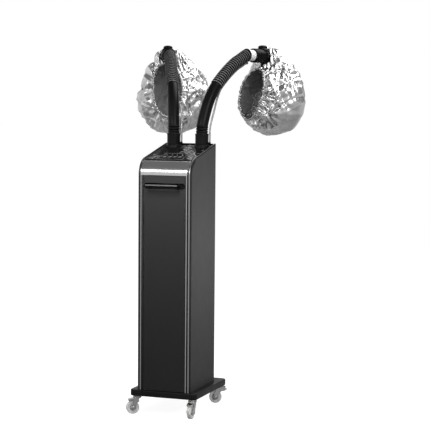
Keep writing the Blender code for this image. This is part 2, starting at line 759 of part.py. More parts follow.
def door(looks):
    axis = hinge_place()
    hinge = frame_empty("door_hinge", (*axis, 0))
    back = DOOR_FRONT + DOOR_THICK
    outline = [
        (-DOOR_HALF + DOOR_EDGE, DOOR_FRONT),
        (DOOR_HALF - DOOR_EDGE, DOOR_FRONT),
        (DOOR_HALF, DOOR_FRONT + DOOR_EDGE),
        (DOOR_HALF, back),
        (-DOOR_HALF, back),
        (-DOOR_HALF, DOOR_FRONT + DOOR_EDGE),
    ]
    local = [(x - axis[0], y - axis[1]) for x, y in outline]
    leaf = place("door", prism("door", local, DOOR_BOTTOM, DOOR_TOP), looks["door"], hinge)
    for end, height in (("lower", DOOR_BOTTOM), ("upper", DOOR_TOP)):
        depth = HINGE_PIN_DEPTH + FIT
        pin_hole = rod("pin_hole_" + end, HINGE_PIN_R + FIT, -depth, depth, 12)
        combine(leaf, pin_hole, "DIFFERENCE", hinge, (0, 0, height))
    middle = (-axis[0], DOOR_FRONT - axis[1], DOOR_TOP - CUP_BELOW_DOOR_TOP)
    seat = prism("cup_seat", cup_outline(FIT), -OVERCUT, CUP_DEPTH + FIT, "Y")
    combine(leaf, seat, "DIFFERENCE", hinge, middle)
    dish = prism("handle_cup", cup_outline(0.0), 0.0, CUP_DEPTH, "Y")
    cup = place("handle_cup", dish, looks["black"], hinge, middle)
    hollow = prism("cup_hollow", cup_outline(-CUP_WALL), -OVERCUT, CUP_DEPTH - CUP_WALL, "Y")
    combine(cup, hollow, "DIFFERENCE", hinge, middle)
    bar_low = (-BAR_LENGTH / 2, -BAR_OUT, -BAR_HEIGHT / 2)
    bar_high = (BAR_LENGTH / 2, -BAR_OUT + BAR_DEPTH, BAR_HEIGHT / 2)
    bar = place("handle_bar", box("handle_bar", bar_low, bar_high), looks["handle"], hinge, middle)
    round_edges(bar, BAR_ROUND)
    for side, sign in SIDES:
        post = rod("handle_post_" + side, POST_R, BAR_OUT - BAR_DEPTH / 2, -CUP_DEPTH + CUP_WALL + FIT, 12)
        post.transform(Matrix.Rotation(math.pi / 2, 4, "X"))
        at = (middle[0] + sign * (BAR_LENGTH / 2 - POST_IN), middle[1], middle[2])
        combine(bar, post, "UNION", hinge, at)
    hinges(axis, looks)


def cup_outline(grow):
    half_x = CUP_WIDTH / 2 + grow
    half_z = CUP_HEIGHT / 2 + grow
    return rounded_rectangle((-half_x, -half_z), (half_x, half_z), half_z - LAP)


def hinges(axis, looks):
    low = CABINET_BOTTOM - HINGE_PIN_DEPTH
    pin = rod("hinge_pin_lower", HINGE_PIN_R, low, DOOR_BOTTOM + HINGE_PIN_DEPTH, 12)
    place("hinge_pin_lower", pin, looks["chrome"], None, (*axis, 0))
    plate_low = DOOR_TOP + DOOR_GAP / 2
    pin = rod("hinge_pin_upper", HINGE_PIN_R, DOOR_TOP - HINGE_PIN_DEPTH, plate_low + LAP, 12)
    bracket = place("hinge_pin_upper", pin, looks["chrome"], None, (*axis, 0))
    front = DOOR_FRONT + FRAME_SHEET + FIT
    plate = box(
        "hinge_plate",
        (-SIDE_INNER_X + FIT, front, plate_low),
        (axis[0] + HINGE_IN, front + HINGE_PLATE_DEPTH, plate_low + HINGE_PLATE),
    )
    combine(bracket, plate, "UNION")


def inside(looks):
    half = SIDE_INNER_X - FIT
    front = DOOR_FRONT + DOOR_THICK + SHELF_FRONT_GAP
    rear = CABINET_REAR - REAR_THICK - FIT
    sheet = box("tank_shelf", (-half, front, SHELF_Z), (half, rear, SHELF_Z + SHELF_THICK))
    shelf = place("tank_shelf", sheet, looks["steel"])
    tank_front = DOOR_FRONT + DOOR_THICK + TANK_FRONT_GAP
    tank_middle = tank_front + TANK_DEPTH / 2
    tank_low = SHELF_Z + SHELF_THICK + FIT
    tank_top = tank_low + TANK_HEIGHT
    body = box(
        "water_tank",
        (-TANK_WIDTH / 2, tank_front, tank_low),
        (TANK_WIDTH / 2, tank_front + TANK_DEPTH, tank_top),
    )
    tank = place("water_tank", body, looks["tank"])
    neck = rod("tank_neck", TANK_NECK_R, tank_top - TANK_WALL / 2, tank_top + TANK_NECK_HEIGHT, 20)
    combine(tank, neck, "UNION", None, (0, tank_middle, 0))
    hollow = box(
        "tank_hollow",
        (-TANK_WIDTH / 2 + TANK_WALL, tank_front + TANK_WALL, tank_low + TANK_WALL),
        (TANK_WIDTH / 2 - TANK_WALL, tank_front + TANK_DEPTH - TANK_WALL, tank_top - TANK_WALL),
    )
    combine(tank, hollow, "DIFFERENCE")
    mouth_top = tank_top + 2 * TANK_NECK_HEIGHT
    mouth = rod("tank_mouth", TANK_NECK_R - TANK_WALL, tank_top - 2 * TANK_WALL, mouth_top, 20)
    combine(tank, mouth, "DIFFERENCE", None, (0, tank_middle, 0))
    inner = TANK_NECK_R + FIT
    ledge = tank_top + TANK_NECK_HEIGHT + FIT
    cap_top = tank_top + FIT + TANK_CAP_HEIGHT
    profile = [(0, cap_top), (TANK_CAP_R, cap_top), (TANK_CAP_R, tank_top + FIT), (inner, tank_top + FIT)]
    profile += [(inner, ledge), (0, ledge)]
    place("tank_cap", turned("tank_cap", profile, 20), looks["black"], None, (0, tank_middle, 0))
    boiler_low = CABINET_BOTTOM + FIT
    boiler_top = boiler_low + BOILER_HEIGHT
    shoulder = boiler_top - BOILER_DOME
    crown = BOILER_R - BOILER_DOME
    inner = BOILER_R - BOILER_WALL
    profile = [(0, boiler_top), (crown, boiler_top), (BOILER_R, shoulder), (BOILER_R, boiler_low)]
    profile += [(inner, boiler_low), (inner, shoulder - LAP), (crown, boiler_top - BOILER_WALL)]
    profile += [(0, boiler_top - BOILER_WALL)]
    place("boiler", turned("boiler", profile, 28), looks["steel"], None, (0, BOILER_Y, 0))
    duct_bottom = boiler_top + FIT
    duct_top = slope_z(CUFF_Y, TOP_INSET) - SOCKET_BELOW - FIT
    for side, sign in SIDES:
        start = (sign * DUCT_PORT_X, BOILER_Y + DUCT_PORT_Y)
        lift = (SHELF_Z - duct_bottom) / 3
        bend = Route((
            (*start, duct_bottom + lift * 0.5),
            (sign * (DUCT_PORT_X + CUFF_X) / 2, (start[1] + CUFF_Y) / 2, duct_bottom + lift * 1.5),
            (sign * CUFF_X, CUFF_Y, duct_bottom + lift * 2.5),
        ))
        points = [Vector((*start, duct_bottom)), Vector((*start, duct_bottom + lift * 0.3))]
        for index in range(DUCT_BEND_POINTS + 1):
            points.append(bend.at(bend.length * index / DUCT_BEND_POINTS))
        for height in (duct_bottom + lift * 2.7, duct_top):
            points.append(Vector((sign * CUFF_X, CUFF_Y, height)))
        duct = place("steam_duct_" + side, swept("steam_duct_" + side, points, DUCT_R), looks["duct"])
        reach = [points[0] - Vector((0, 0, OVERCUT)), *points, points[-1] + Vector((0, 0, OVERCUT))]
        combine(duct, swept("duct_bore_" + side, reach, DUCT_BORE_R), "DIFFERENCE")
        hole = rod("duct_hole_" + side, DUCT_R + FIT, SHELF_Z - OVERCUT, SHELF_Z + SHELF_THICK + OVERCUT, 16)
        combine(shelf, hole, "DIFFERENCE", None, (sign * CUFF_X, CUFF_Y, 0))
    feed_y = BOILER_Y - DUCT_PORT_Y
    feed_hole = rod("feed_hole", FEED_R + FIT, SHELF_Z - OVERCUT, SHELF_Z + SHELF_THICK + OVERCUT, 12)
    combine(shelf, feed_hole, "DIFFERENCE", None, (FEED_X, feed_y, 0))
    feed = rod("feed_tube", FEED_R, boiler_top + FIT, SHELF_Z + SHELF_THICK, 12)
    place("feed_tube", feed, looks["tank"], None, (FEED_X, feed_y, 0))


def hose_route():
    return Route([(0.0, reach, height) for reach, height in HOSE_ROUTE])


def hose(side, sign, looks):
    """One hose and its hood, in a frame on the cuff's top whose Y axis points the way the hose leans."""
    splay = sign * HOSE_SPLAY[side]
    column = frame_empty("hose_column_" + side, (sign * CUFF_X, CUFF_Y, CUFF_TOP), (0, 0, -splay))
    route = hose_route()
    socket(side, sign, looks)
    cuff(side, splay, column, looks)
    sleeve(side, route, column, looks)
    ribbed_hose(side, route, column, looks)
    drain_tube(side, splay, route, column, looks)
    arm = frame_empty("hood_arm_" + side, route.points[-1], (END_TILT, 0, 0), column)
    hood_fittings(side, arm, looks)
    bonnet(side, column, arm, looks)


def socket(side, sign, looks):
    """The fixed neck through the top panel, with a flange that lies on the panel and is level on top."""
    at = (sign * CUFF_X, CUFF_Y, 0)
    rest = slope_z(CUFF_Y, TOP_INSET) - SOCKET_BELOW
    low = slope_z(CUFF_Y - SOCKET_FLANGE_R, TOP_INSET) - OVERCUT
    disc = rod("hose_socket_" + side, SOCKET_FLANGE_R, low, socket_top())
    flange = place("hose_socket_" + side, disc, looks["black"], None, at)
    reach = 2 * SOCKET_FLANGE_R
    slab = box("panel_slab_" + side, (-reach, -reach, -reach), (reach, reach, FIT))
    on_panel = (sign * CUFF_X, CUFF_Y, slope_z(CUFF_Y, TOP_INSET))
    combine(flange, slab, "DIFFERENCE", None, on_panel, (TOP_SLOPE, 0, 0))
    neck_top = CUFF_TOP - HOSE_IN_CUFF - FIT
    combine(flange, rod("socket_neck_" + side, HOSE_R, rest, neck_top), "UNION", None, at)
    bore = rod("socket_bore_" + side, HOSE_BORE_R, rest - OVERCUT, neck_top + OVERCUT)
    combine(flange, bore, "DIFFERENCE", None, at)


def socket_top():
    return slope_z(CUFF_Y + SOCKET_FLANGE_R, TOP_INSET) + LAP


def cuff(side, splay, column, looks):
    """The turning cuff round the socket's neck and the hose's foot, with a lug that holds the drain tube."""
    low = socket_top() + FIT - CUFF_TOP
    inner = HOSE_R + FIT
    profile = [(inner, low), (CUFF_R, low), (CUFF_R, -CUFF_RIM)]
    profile += [(CUFF_RIM_R, -CUFF_RIM), (CUFF_RIM_R, 0.0), (inner, 0.0)]
    ring = turned("hose_cuff_" + side, profile, 24, True)
    body = place("hose_cuff_" + side, ring, looks["black"], column)
    lug_low = -TUBE_LUG_DROP
    reach = TUBE_OFFSET + TUBE_R + LAP
    start = (inner + CUFF_R) / 2
    lug_high = lug_low + TUBE_LUG_HEIGHT
    lug = box("tube_lug_" + side, (start, -TUBE_LUG_HALF, lug_low), (reach, TUBE_LUG_HALF, lug_high))
    combine(body, lug, "UNION", column, (0, 0, 0), (0, 0, splay))


def squared(route, distances, shares):
    """Points at distances along the route, with a short straight run at each end that squares its face."""
    points = [route.at(distance) for distance in distances]
    first = points[0] + route.ahead(distances[0]) * END_RUN
    last = points[-1] - route.ahead(distances[-1]) * END_RUN
    return [points[0], first, *points[1:-1], last, points[-1]], [shares[0], *shares, shares[-1]]


def sleeve(side, route, column, looks):
    """The smooth part of the hose, with a few ribs where it leaves the cuff."""
    ankle = HOSE_IN_CUFF + ANKLE_GAP
    distances = [0.0, ankle]
    shares = [1.0, 1.0]
    for rib in range(ANKLE_RIBS):
        start = ankle + rib * ANKLE_RIB_PITCH
        distances += [start + ANKLE_RIB_PITCH * 0.5, start + ANKLE_RIB_PITCH]
        shares += [RIB_CREST_R / HOSE_R, 1.0]
    plain = distances[-1]
    for index in range(1, SLEEVE_POINTS + 1):
        distances.append(plain + (SLEEVE_LENGTH - plain) * index / SLEEVE_POINTS)
        shares.append(1.0)
    points, shares = squared(route, distances, shares)
    tube = swept("hose_sleeve_" + side, points, HOSE_R, shares, 4)
    item = place("hose_sleeve_" + side, tube, looks["sleeve"], column)
    bore_tube(item, "sleeve_bore_" + side, route, 0.0, SLEEVE_LENGTH, column, 4)


def bore_tube(item, name, route, start, end, column, resolution):
    last = end - COLLAR_BEHIND - LAP
    count = max(6, round((last - start) / BORE_STEP))
    points = [route.at(start + (last - start) * index / count) for index in range(count + 1)]
    points[0] = points[0] - route.ahead(start) * OVERCUT
    points.append(route.at(end) + route.ahead(end) * OVERCUT)
    combine(item, swept(name, points, HOSE_BORE_R, None, resolution), "DIFFERENCE", column)


def ribbed_hose(side, route, column, looks):
    """The flexible upper hose: each rib is a crest between two valleys."""
    start = SLEEVE_LENGTH + FIT
    pitch = (route.length - start) / RIB_COUNT
    distances = [start]
    shares = [RIB_VALLEY_R / RIB_CREST_R]
    for rib in range(RIB_COUNT):
        distances += [start + (rib + 0.5) * pitch, start + (rib + 1) * pitch]
        shares += [1.0, RIB_VALLEY_R / RIB_CREST_R]
    points, shares = squared(route, distances, shares)
    tube = swept("ribbed_hose_" + side, points, RIB_CREST_R, shares, RIB_ROUND_POINTS)
    item = place("ribbed_hose_" + side, tube, looks["hose"], column)
    bore_tube(item, "ribbed_bore_" + side, route, start, route.length, column, RIB_ROUND_POINTS)


def drain_tube(side, splay, route, column, looks):
    """A thin tube from the cuff's lug up to the hose, and along its underside to the collar."""
    spread = Matrix.Rotation(splay, 4, "Z")
    foot = spread @ Vector((TUBE_OFFSET, 0, TUBE_LUG_HEIGHT + FIT - TUBE_LUG_DROP))
    points = [foot, foot + Vector((0, 0, TUBE_STRAIGHT))]
    start = HOSE_IN_CUFF + TUBE_FROM_CUFF
    end = route.length - TUBE_END_GAP
    touching = RIB_CREST_R + TUBE_R + TUBE_HOSE_GAP
    for index in range(TUBE_STATIONS + 1):
        share = index / TUBE_STATIONS
        distance = start + (end - start) * share
        ahead = route.ahead(distance)
        under = Vector((0, ahead.z, -ahead.y))
        settle = min(share / TUBE_TOUCHES_AT, 1.0)
        settle = settle * settle * (3 - 2 * settle)
        angle = splay * (1 - settle) + math.pi / 2 * settle
        radius = TUBE_OFFSET * (1 - settle) + touching * settle
        outward = under * math.sin(angle) + Vector((math.cos(angle), 0, 0))
        points.append(route.at(distance) + outward * radius)
    place("drain_tube_" + side, swept("drain_tube_" + side, points, TUBE_R), looks["tube"], column)


def along_arm(mesh):
    """Turns a shape made along Z so that it runs along the arm's Y axis."""
    mesh.transform(Matrix.Rotation(-math.pi / 2, 4, "X"))
    return mesh


def hood_fittings(side, arm, looks):
    """Collar, end cylinder and cap, in the frame of the hose's end with Y along the arm."""
    bore_sides = 4 + 2 * RIB_ROUND_POINTS
    plug = HOSE_BORE_R * math.cos(math.pi / bore_sides) - FIT
    profile = [(COLLAR_BORE_R, -COLLAR_BEHIND), (plug, -COLLAR_BEHIND), (plug, FIT), (COLLAR_R, FIT)]
    profile += [(COLLAR_R, COLLAR_AHEAD), (COLLAR_BORE_R, COLLAR_AHEAD)]
    collar = along_arm(turned("hose_collar_" + side, profile, 24, True))
    place("hose_collar_" + side, collar, looks["white"], arm)
    end = CYLINDER_START + CYLINDER_LENGTH
    seat = COLLAR_R + FIT
    bore = CYLINDER_R - CYLINDER_WALL
    profile = [
        (seat, CYLINDER_START),
        (CYLINDER_R - CYLINDER_EDGE, CYLINDER_START),
        (CYLINDER_R, CYLINDER_START + CYLINDER_EDGE),
        (CYLINDER_R, end),
        (bore, end),
        (bore, COLLAR_AHEAD + FIT),
        (seat, COLLAR_AHEAD + FIT),
    ]
    body = along_arm(turned("hood_cylinder_" + side, profile, 24, True))
    place("hood_cylinder_" + side, body, looks["black"], arm)
    outer_end = end + FIT + CAP_LENGTH
    profile = [
        (STEAM_PORT_R, end - CAP_PLUG),
        (bore - FIT, end - CAP_PLUG),
        (bore - FIT, end + FIT),
        (CYLINDER_R, end + FIT),
        (CYLINDER_R - CYLINDER_EDGE, outer_end),
        (STEAM_PORT_R, outer_end),
    ]
    cap = along_arm(turned("hood_cap_" + side, profile, 24, True))
    place("hood_cap_" + side, cap, looks["black"], arm)
    clamp(side, end - KNOB_FROM_END, arm, looks)


def clamp(side, middle, arm, looks):
    """The strap round the end cylinder with its hanging tail, and the knob that stands on it."""
    inner = CYLINDER_R + FIT
    outer = inner + STRAP_THICK
    low = middle - STRAP_WIDTH / 2
    high = middle + STRAP_WIDTH / 2
    profile = [(inner, low), (outer, low), (outer, high), (inner, high)]
    ring = along_arm(turned("hood_strap_" + side, profile, 24, True))
    strap = place("hood_strap_" + side, ring, looks["black"], arm)
    tail_low = (-STRAP_WIDTH / 2, low, -inner - STRAP_TAIL)
    tail_high = (STRAP_WIDTH / 2, low + STRAP_THICK, -inner - STRAP_THICK / 2)
    combine(strap, box("strap_tail_" + side, tail_low, tail_high), "UNION", arm)
    axis = frame_empty("knob_axis_" + side, (0, middle, 0), (0, 0, 0), arm)
    seat = outer + FIT
    waist = seat + KNOB_HEIGHT * 0.45
    profile = [(0, seat), (KNOB_R - LAP, seat), (KNOB_R, seat + LAP), (KNOB_R, waist)]
    for step in range(1, 4):
        angle = math.pi / 2 * step / 4
        profile.append((KNOB_R * math.cos(angle), waist + KNOB_HEIGHT * 0.55 * math.sin(angle)))
    profile.append((0, seat + KNOB_HEIGHT))
    place("hood_knob_" + side, turned("hood_knob_" + side, profile, 20), looks["black"], axis)


def bonnet_body(name, side, shrink):
    """A pear-shaped closed body hanging from its top ring."""
    shape = bmesh.new()
    rings = []
    for height, reach, half_width, half_depth, share in BONNET_RINGS:
        ring = []
        for index in range(BONNET_SIDES):
            angle = math.tau * index / BONNET_SIDES
            x = BONNET_HANG[side] * share + (half_width - shrink) * math.cos(angle)
            y = reach + (half_depth - shrink) * math.sin(angle)
            ring.append(shape.verts.new((x, y, ARM_HEIGHT + height)))
        rings.append(ring)
    for upper, lower in zip(rings, rings[1:]):
        for index in range(BONNET_SIDES):
            following = (index + 1) % BONNET_SIDES
            shape.faces.new((upper[index], upper[following], lower[following], lower[index]))
    ends = ((rings[0], BONNET_TOP - shrink), (rings[-1], BONNET_BOTTOM + shrink))
    for ring, height in ends:
        middle = sum((vert.co for vert in ring), Vector()) / BONNET_SIDES
        pole = shape.verts.new((middle.x, middle.y, ARM_HEIGHT + height))
        for index in range(BONNET_SIDES):
            shape.faces.new((ring[index], ring[(index + 1) % BONNET_SIDES], pole))
    return finish_mesh(shape, name)


def bonnet(side, column, arm, looks):
    """A fabric bag, open towards the hose, with a neck hole that fits the end cylinder."""
    bag = place("bonnet_" + side, bonnet_body("bonnet_" + side, side, 0.0), looks["foil"], column)
    combine(bag, bonnet_body("bonnet_hollow_" + side, side, BONNET_WALL), "DIFFERENCE", column)
    ellipse = []
    for index in range(BONNET_SIDES):
        angle = math.tau * index / BONNET_SIDES
        x = BONNET_MOUTH_HALF_WIDTH * math.cos(angle)
        ellipse.append((x, BONNET_MOUTH_HALF_HEIGHT * math.sin(angle)))
    middle = BONNET_RINGS[len(BONNET_RINGS) // 2][1]
    mouth = prism("bonnet_mouth_" + side, ellipse, -middle, 0.0, "Y")
    combine(bag, mouth, "DIFFERENCE", column, (MOUTH_SHIFT[side], middle, ARM_HEIGHT + BONNET_MOUTH_Z))
    neck_end = CYLINDER_START + CYLINDER_LENGTH + CAP_LENGTH + FIT + BONNET_NECK_GAP
    neck = along_arm(rod("bonnet_neck_" + side, CYLINDER_R + BONNET_NECK_GAP, 0.0, neck_end))
    combine(bag, neck, "DIFFERENCE", arm)


def main():
    clear_scene()
    looks = {
        "base": principled("base_black", (0.012, 0.012, 0.012), 0.5),
        "chrome": principled("caster_chrome", (0.75, 0.75, 0.76), 0.12, 1.0),
        "wheel": principled("wheel_clear", (0.78, 0.78, 0.76), 0.25, 0.0, 0.6),
        "side": principled("side_satin", (0.05, 0.05, 0.05), 0.38, 0.3),
        "silver": principled("edging_silver", (0.45, 0.45, 0.45), 0.3, 0.9),
        "door": principled("door_satin", (0.03, 0.03, 0.03), 0.35, 0.2),
        "black": principled("moulded_black", (0.01, 0.01, 0.01), 0.4),
        "gloss": principled("panel_gloss", (0.008, 0.008, 0.008), 0.06),
        "overlay": principled("overlay_black", (0.004, 0.004, 0.004), 0.15),
        "button": principled("button_grey", (0.10, 0.10, 0.10), 0.4),
        "handle": principled("handle_grey", (0.10, 0.10, 0.10), 0.3, 0.6),
        "sleeve": principled("sleeve_black", (0.01, 0.01, 0.01), 0.35),
        "hose": principled("hose_black", (0.008, 0.008, 0.008), 0.4),
        "white": principled("collar_white", (0.85, 0.85, 0.84), 0.4),
        "tube": principled("tube_grey", (0.35, 0.35, 0.35), 0.3),
        "foil": principled("bonnet_foil", (0.72, 0.72, 0.73), 0.28, 0.85),
        "steel": principled("inner_steel", (0.55, 0.55, 0.56), 0.3, 1.0),
        "tank": principled("tank_frosted", (0.75, 0.80, 0.82), 0.3, 0.0, 0.6),
        "duct": principled("duct_rubber", (0.04, 0.04, 0.04), 0.6),
        "board": principled("board_green", (0.02, 0.12, 0.05), 0.5),
    }
    base_plate(looks)
    for name, at, trails, braked in caster_places():
        caster(name, at, trails, braked, looks)
    shell(looks)
    front_frame(looks)
    door(looks)
    controls(top_panel(looks), looks)
    power_inlet(looks)
    inside(looks)
    for side, sign in SIDES:
        hose(side, sign, looks)


main()
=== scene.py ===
import math

import bmesh
import bpy
import numpy as np
from mathutils import Matrix, Vector, noise


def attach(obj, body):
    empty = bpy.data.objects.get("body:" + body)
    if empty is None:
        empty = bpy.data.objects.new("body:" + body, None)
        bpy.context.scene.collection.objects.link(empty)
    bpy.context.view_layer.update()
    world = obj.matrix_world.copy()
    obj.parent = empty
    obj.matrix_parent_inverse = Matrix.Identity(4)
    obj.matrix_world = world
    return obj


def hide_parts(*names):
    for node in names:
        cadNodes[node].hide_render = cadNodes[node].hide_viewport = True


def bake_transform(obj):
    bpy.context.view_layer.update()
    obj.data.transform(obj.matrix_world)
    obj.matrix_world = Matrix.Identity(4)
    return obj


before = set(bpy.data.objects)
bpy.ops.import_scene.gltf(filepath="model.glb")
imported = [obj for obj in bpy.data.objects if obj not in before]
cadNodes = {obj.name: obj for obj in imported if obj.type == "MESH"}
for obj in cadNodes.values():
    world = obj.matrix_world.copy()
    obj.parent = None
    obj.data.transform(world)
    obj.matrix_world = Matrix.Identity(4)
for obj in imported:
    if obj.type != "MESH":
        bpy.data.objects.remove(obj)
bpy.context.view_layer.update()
scene = bpy.context.scene
scene.view_settings.view_transform = "Standard"
print("frame loaded:", len(cadNodes), "nodes")

# camera at the photograph's angle, a long lens from six metres
viewpoint = {
    "azimuth": math.radians(19.703),
    "pitch": math.radians(4.603),
    "roll": math.radians(0.451),
    "distance": 6.0125,
    "target": (0.1372, 0.0491, 0.765),
    "focalPixels": 1550.6,
    "framePixels": 430,
    "sensor": 36.0,
    "clipEnd": 100,
}


def makeCamera(s):
    turn, dip, roll = s["azimuth"], s["pitch"], s["roll"]
    right = Vector((math.cos(turn), math.sin(turn), 0))
    back = Vector((math.sin(turn) * math.cos(dip), -math.cos(turn) * math.cos(dip), math.sin(dip)))
    up = back.cross(right)
    rolledRight = right * math.cos(roll) + up * math.sin(roll)
    rolledUp = up * math.cos(roll) - right * math.sin(roll)
    data = bpy.data.cameras.new("camera")
    data.sensor_width = s["sensor"]
    data.lens = s["focalPixels"] / s["framePixels"] * s["sensor"]
    data.clip_end = s["clipEnd"]
    camera = bpy.data.objects.new("camera", data)
    place = Vector(s["target"]) + back * s["distance"]
    turned = Matrix((rolledRight, rolledUp, back)).transposed()
    camera.matrix_world = Matrix.Translation(place) @ turned.to_4x4()
    scene.collection.objects.link(camera)
    scene.camera = camera


makeCamera(viewpoint)


# small helpers for node trees: a socket takes a plain value or another node's output
def isSocket(value):
    return isinstance(value, bpy.types.NodeSocket)


def plugIn(tree, node, sockets):
    for socket, value in sockets.items():
        if isSocket(value):
            tree.links.new(value, node.inputs[socket])
        else:
            node.inputs[socket].default_value = value


def addNode(tree, kind, sockets=None, **values):
    node = tree.nodes.new(kind)
    for name, value in values.items():
        setattr(node, name, value)
    plugIn(tree, node, sockets or {})
    return node


def compute(tree, operation, *values, **options):
    node = addNode(tree, "ShaderNodeMath", dict(enumerate(values)), operation=operation, **options)
    return node.outputs["Value"]


def mapRange(tree, value, start, end, low, high, **options):
    sockets = {"Value": value, "From Min": start, "From Max": end, "To Min": low, "To Max": high}
    return addNode(tree, "ShaderNodeMapRange", sockets, **options).outputs["Result"]


def noiseOn(tree, place, scale, detail):
    sockets = {"Vector": place, "Scale": scale, "Detail": detail}
    return addNode(tree, "ShaderNodeTexNoise", sockets).outputs["Fac"]


def mixColours(tree, share, first, second):
    first, second = (value if isSocket(value) else colour(value) for value in (first, second))
    return addNode(tree, "ShaderNodeMix", {0: share, 6: first, 7: second}, data_type="RGBA").outputs[2]


def addBump(tree, height, strength, distance):
    sockets = {"Height": height, "Strength": strength, "Distance": distance}
    return addNode(tree, "ShaderNodeBump", sockets).outputs["Normal"]


# a lone number is a grey
def colour(shade):
    return (shade, shade, shade, 1) if isinstance(shade, (int, float)) else (*shade, 1)


def newMaterial(name):
    material = bpy.data.materials.new(name)
    material.use_nodes = True
    tree = material.node_tree
    place = addNode(tree, "ShaderNodeTexCoord").outputs["Object"]
    return material, tree, place


# light: a soft white studio
studio = {
    "ambient": 0.26,
    "ceiling": 0.26,
    "ceilingReach": (0.30, 0.62),
    "dimSide": (0.86, 0.5, 0.0),
    "dimReach": (0.25, 0.75),
    "dimLevel": 0.4,
    "floorSize": 80.0,
    "floorShade": 0.25,
    "floorGlow": 0.945,
    "floorMirrorGlow": (0.14, 0.70),
    "floorMirrorReach": (1.5, 6.0),
    "matteOnly": ("doorLamp", "sideLamp"),
    "matteSpread": 66,
    "openSpread": 180,
    # name, place, aim, width, height, watts
    "lamps": (
        ("topLamp", (1.1, 1.1, 3.3), (0.1, 0.3, 1.1), 2.2, 2.2, 90),
        ("keyLamp", (2.6, -2.2, 2.6), (0.1, 0.1, 1.0), 1.6, 2.0, 55),
        ("frontLamp", (-1.1, -2.9, 2.45), (0.0, 0.0, 0.95), 1.6, 0.35, 18),
        ("doorLamp", (0.0, -0.85, 1.58), (0.0, -0.14, 0.94), 0.5, 0.45, 4.2),
        ("sideLamp", (1.2, 0.0, 0.70), (0.105, 0.0, 0.66), 0.3, 0.1, 2.8),
    ),
}
soft = {"interpolation_type": "SMOOTHSTEP"}


# the world is white to the camera, dimmer overhead and on one side to mirrors, and plain to matt surfaces
def makeWorld(s):
    world = bpy.data.worlds.new("studioWorld")
    scene.world = world
    world.use_nodes = True
    tree = world.node_tree
    ambient = tree.nodes["Background"]
    plugIn(tree, ambient, {"Color": colour(1), "Strength": s["ambient"]})
    shown = addNode(tree, "ShaderNodeBackground", {"Color": colour(1)})
    toward = addNode(tree, "ShaderNodeTexCoord").outputs["Generated"]
    height = addNode(tree, "ShaderNodeSeparateXYZ", {"Vector": toward}).outputs["Z"]
    side = addNode(tree, "ShaderNodeVectorMath", {0: toward, 1: s["dimSide"]}, operation="DOT_PRODUCT")
    level = mapRange(tree, side.outputs["Value"], *s["dimReach"], 1.0, s["dimLevel"], **soft)
    strength = mapRange(tree, height, *s["ceilingReach"], level, s["ceiling"], **soft)
    mirrored = addNode(tree, "ShaderNodeBackground", {"Strength": strength})
    path = addNode(tree, "ShaderNodeLightPath").outputs
    reflected = compute(tree, "MAXIMUM", path["Is Glossy Ray"], path["Is Transmission Ray"])
    lit = addNode(tree, "ShaderNodeMixShader", {0: reflected, 1: ambient.outputs[0], 2: mirrored.outputs[0]})
    seen = {0: path["Is Camera Ray"], 1: lit.outputs[0], 2: shown.outputs[0]}
    whole = addNode(tree, "ShaderNodeMixShader", seen)
    plugIn(tree, tree.nodes["World Output"], {"Surface": whole.outputs[0]})


# the floor keeps the object's shadow and glows white to the camera and, further off, to mirrors
def makeFloor(s):
    half = s["floorSize"] / 2
    corners = [(-half, -half, 0), (half, -half, 0), (half, half, 0), (-half, half, 0)]
    mesh = bpy.data.meshes.new("floor")
    mesh.from_pydata(corners, [], [(0, 1, 2, 3)])
    floor = bpy.data.objects.new("floor", mesh)
    scene.collection.objects.link(floor)
    material, tree, place = newMaterial("paleFloor")
    tree.nodes.remove(tree.nodes["Principled BSDF"])
    matt = addNode(tree, "ShaderNodeBsdfDiffuse", {"Color": colour(s["floorShade"])})
    path = addNode(tree, "ShaderNodeLightPath").outputs
    direct = compute(tree, "MAXIMUM", path["Is Camera Ray"], path["Is Transmission Ray"])
    away = addNode(tree, "ShaderNodeVectorMath", {0: place}, operation="LENGTH").outputs["Value"]
    rise = mapRange(tree, away, *s["floorMirrorReach"], *s["floorMirrorGlow"], **soft)
    mirrored = compute(tree, "MULTIPLY", path["Is Glossy Ray"], rise)
    level = compute(tree, "MULTIPLY_ADD", direct, s["floorGlow"], mirrored)
    glow = addNode(tree, "ShaderNodeEmission", {"Strength": level})
    total = addNode(tree, "ShaderNodeAddShader", {0: matt.outputs[0], 1: glow.outputs[0]})
    plugIn(tree, tree.nodes["Material Output"], {"Surface": total.outputs[0]})
    mesh.materials.append(material)


def makeLamps(s):
    for name, place, aim, width, height, watts in s["lamps"]:
        matte = name in s["matteOnly"]
        data = bpy.data.lights.new(name, "AREA")
        data.shape = "RECTANGLE"
        data.size = width
        data.size_y = height
        data.energy = watts
        data.spread = math.radians(s["matteSpread"] if matte else s["openSpread"])
        lamp = bpy.data.objects.new(name, data)
        lamp.location = place
        lamp.rotation_euler = (Vector(aim) - Vector(place)).to_track_quat("-Z", "Y").to_euler()
        lamp.visible_glossy = not matte
        lamp.visible_camera = False
        scene.collection.objects.link(lamp)


makeWorld(studio)
makeFloor(studio)
makeLamps(studio)
print("studio ready")

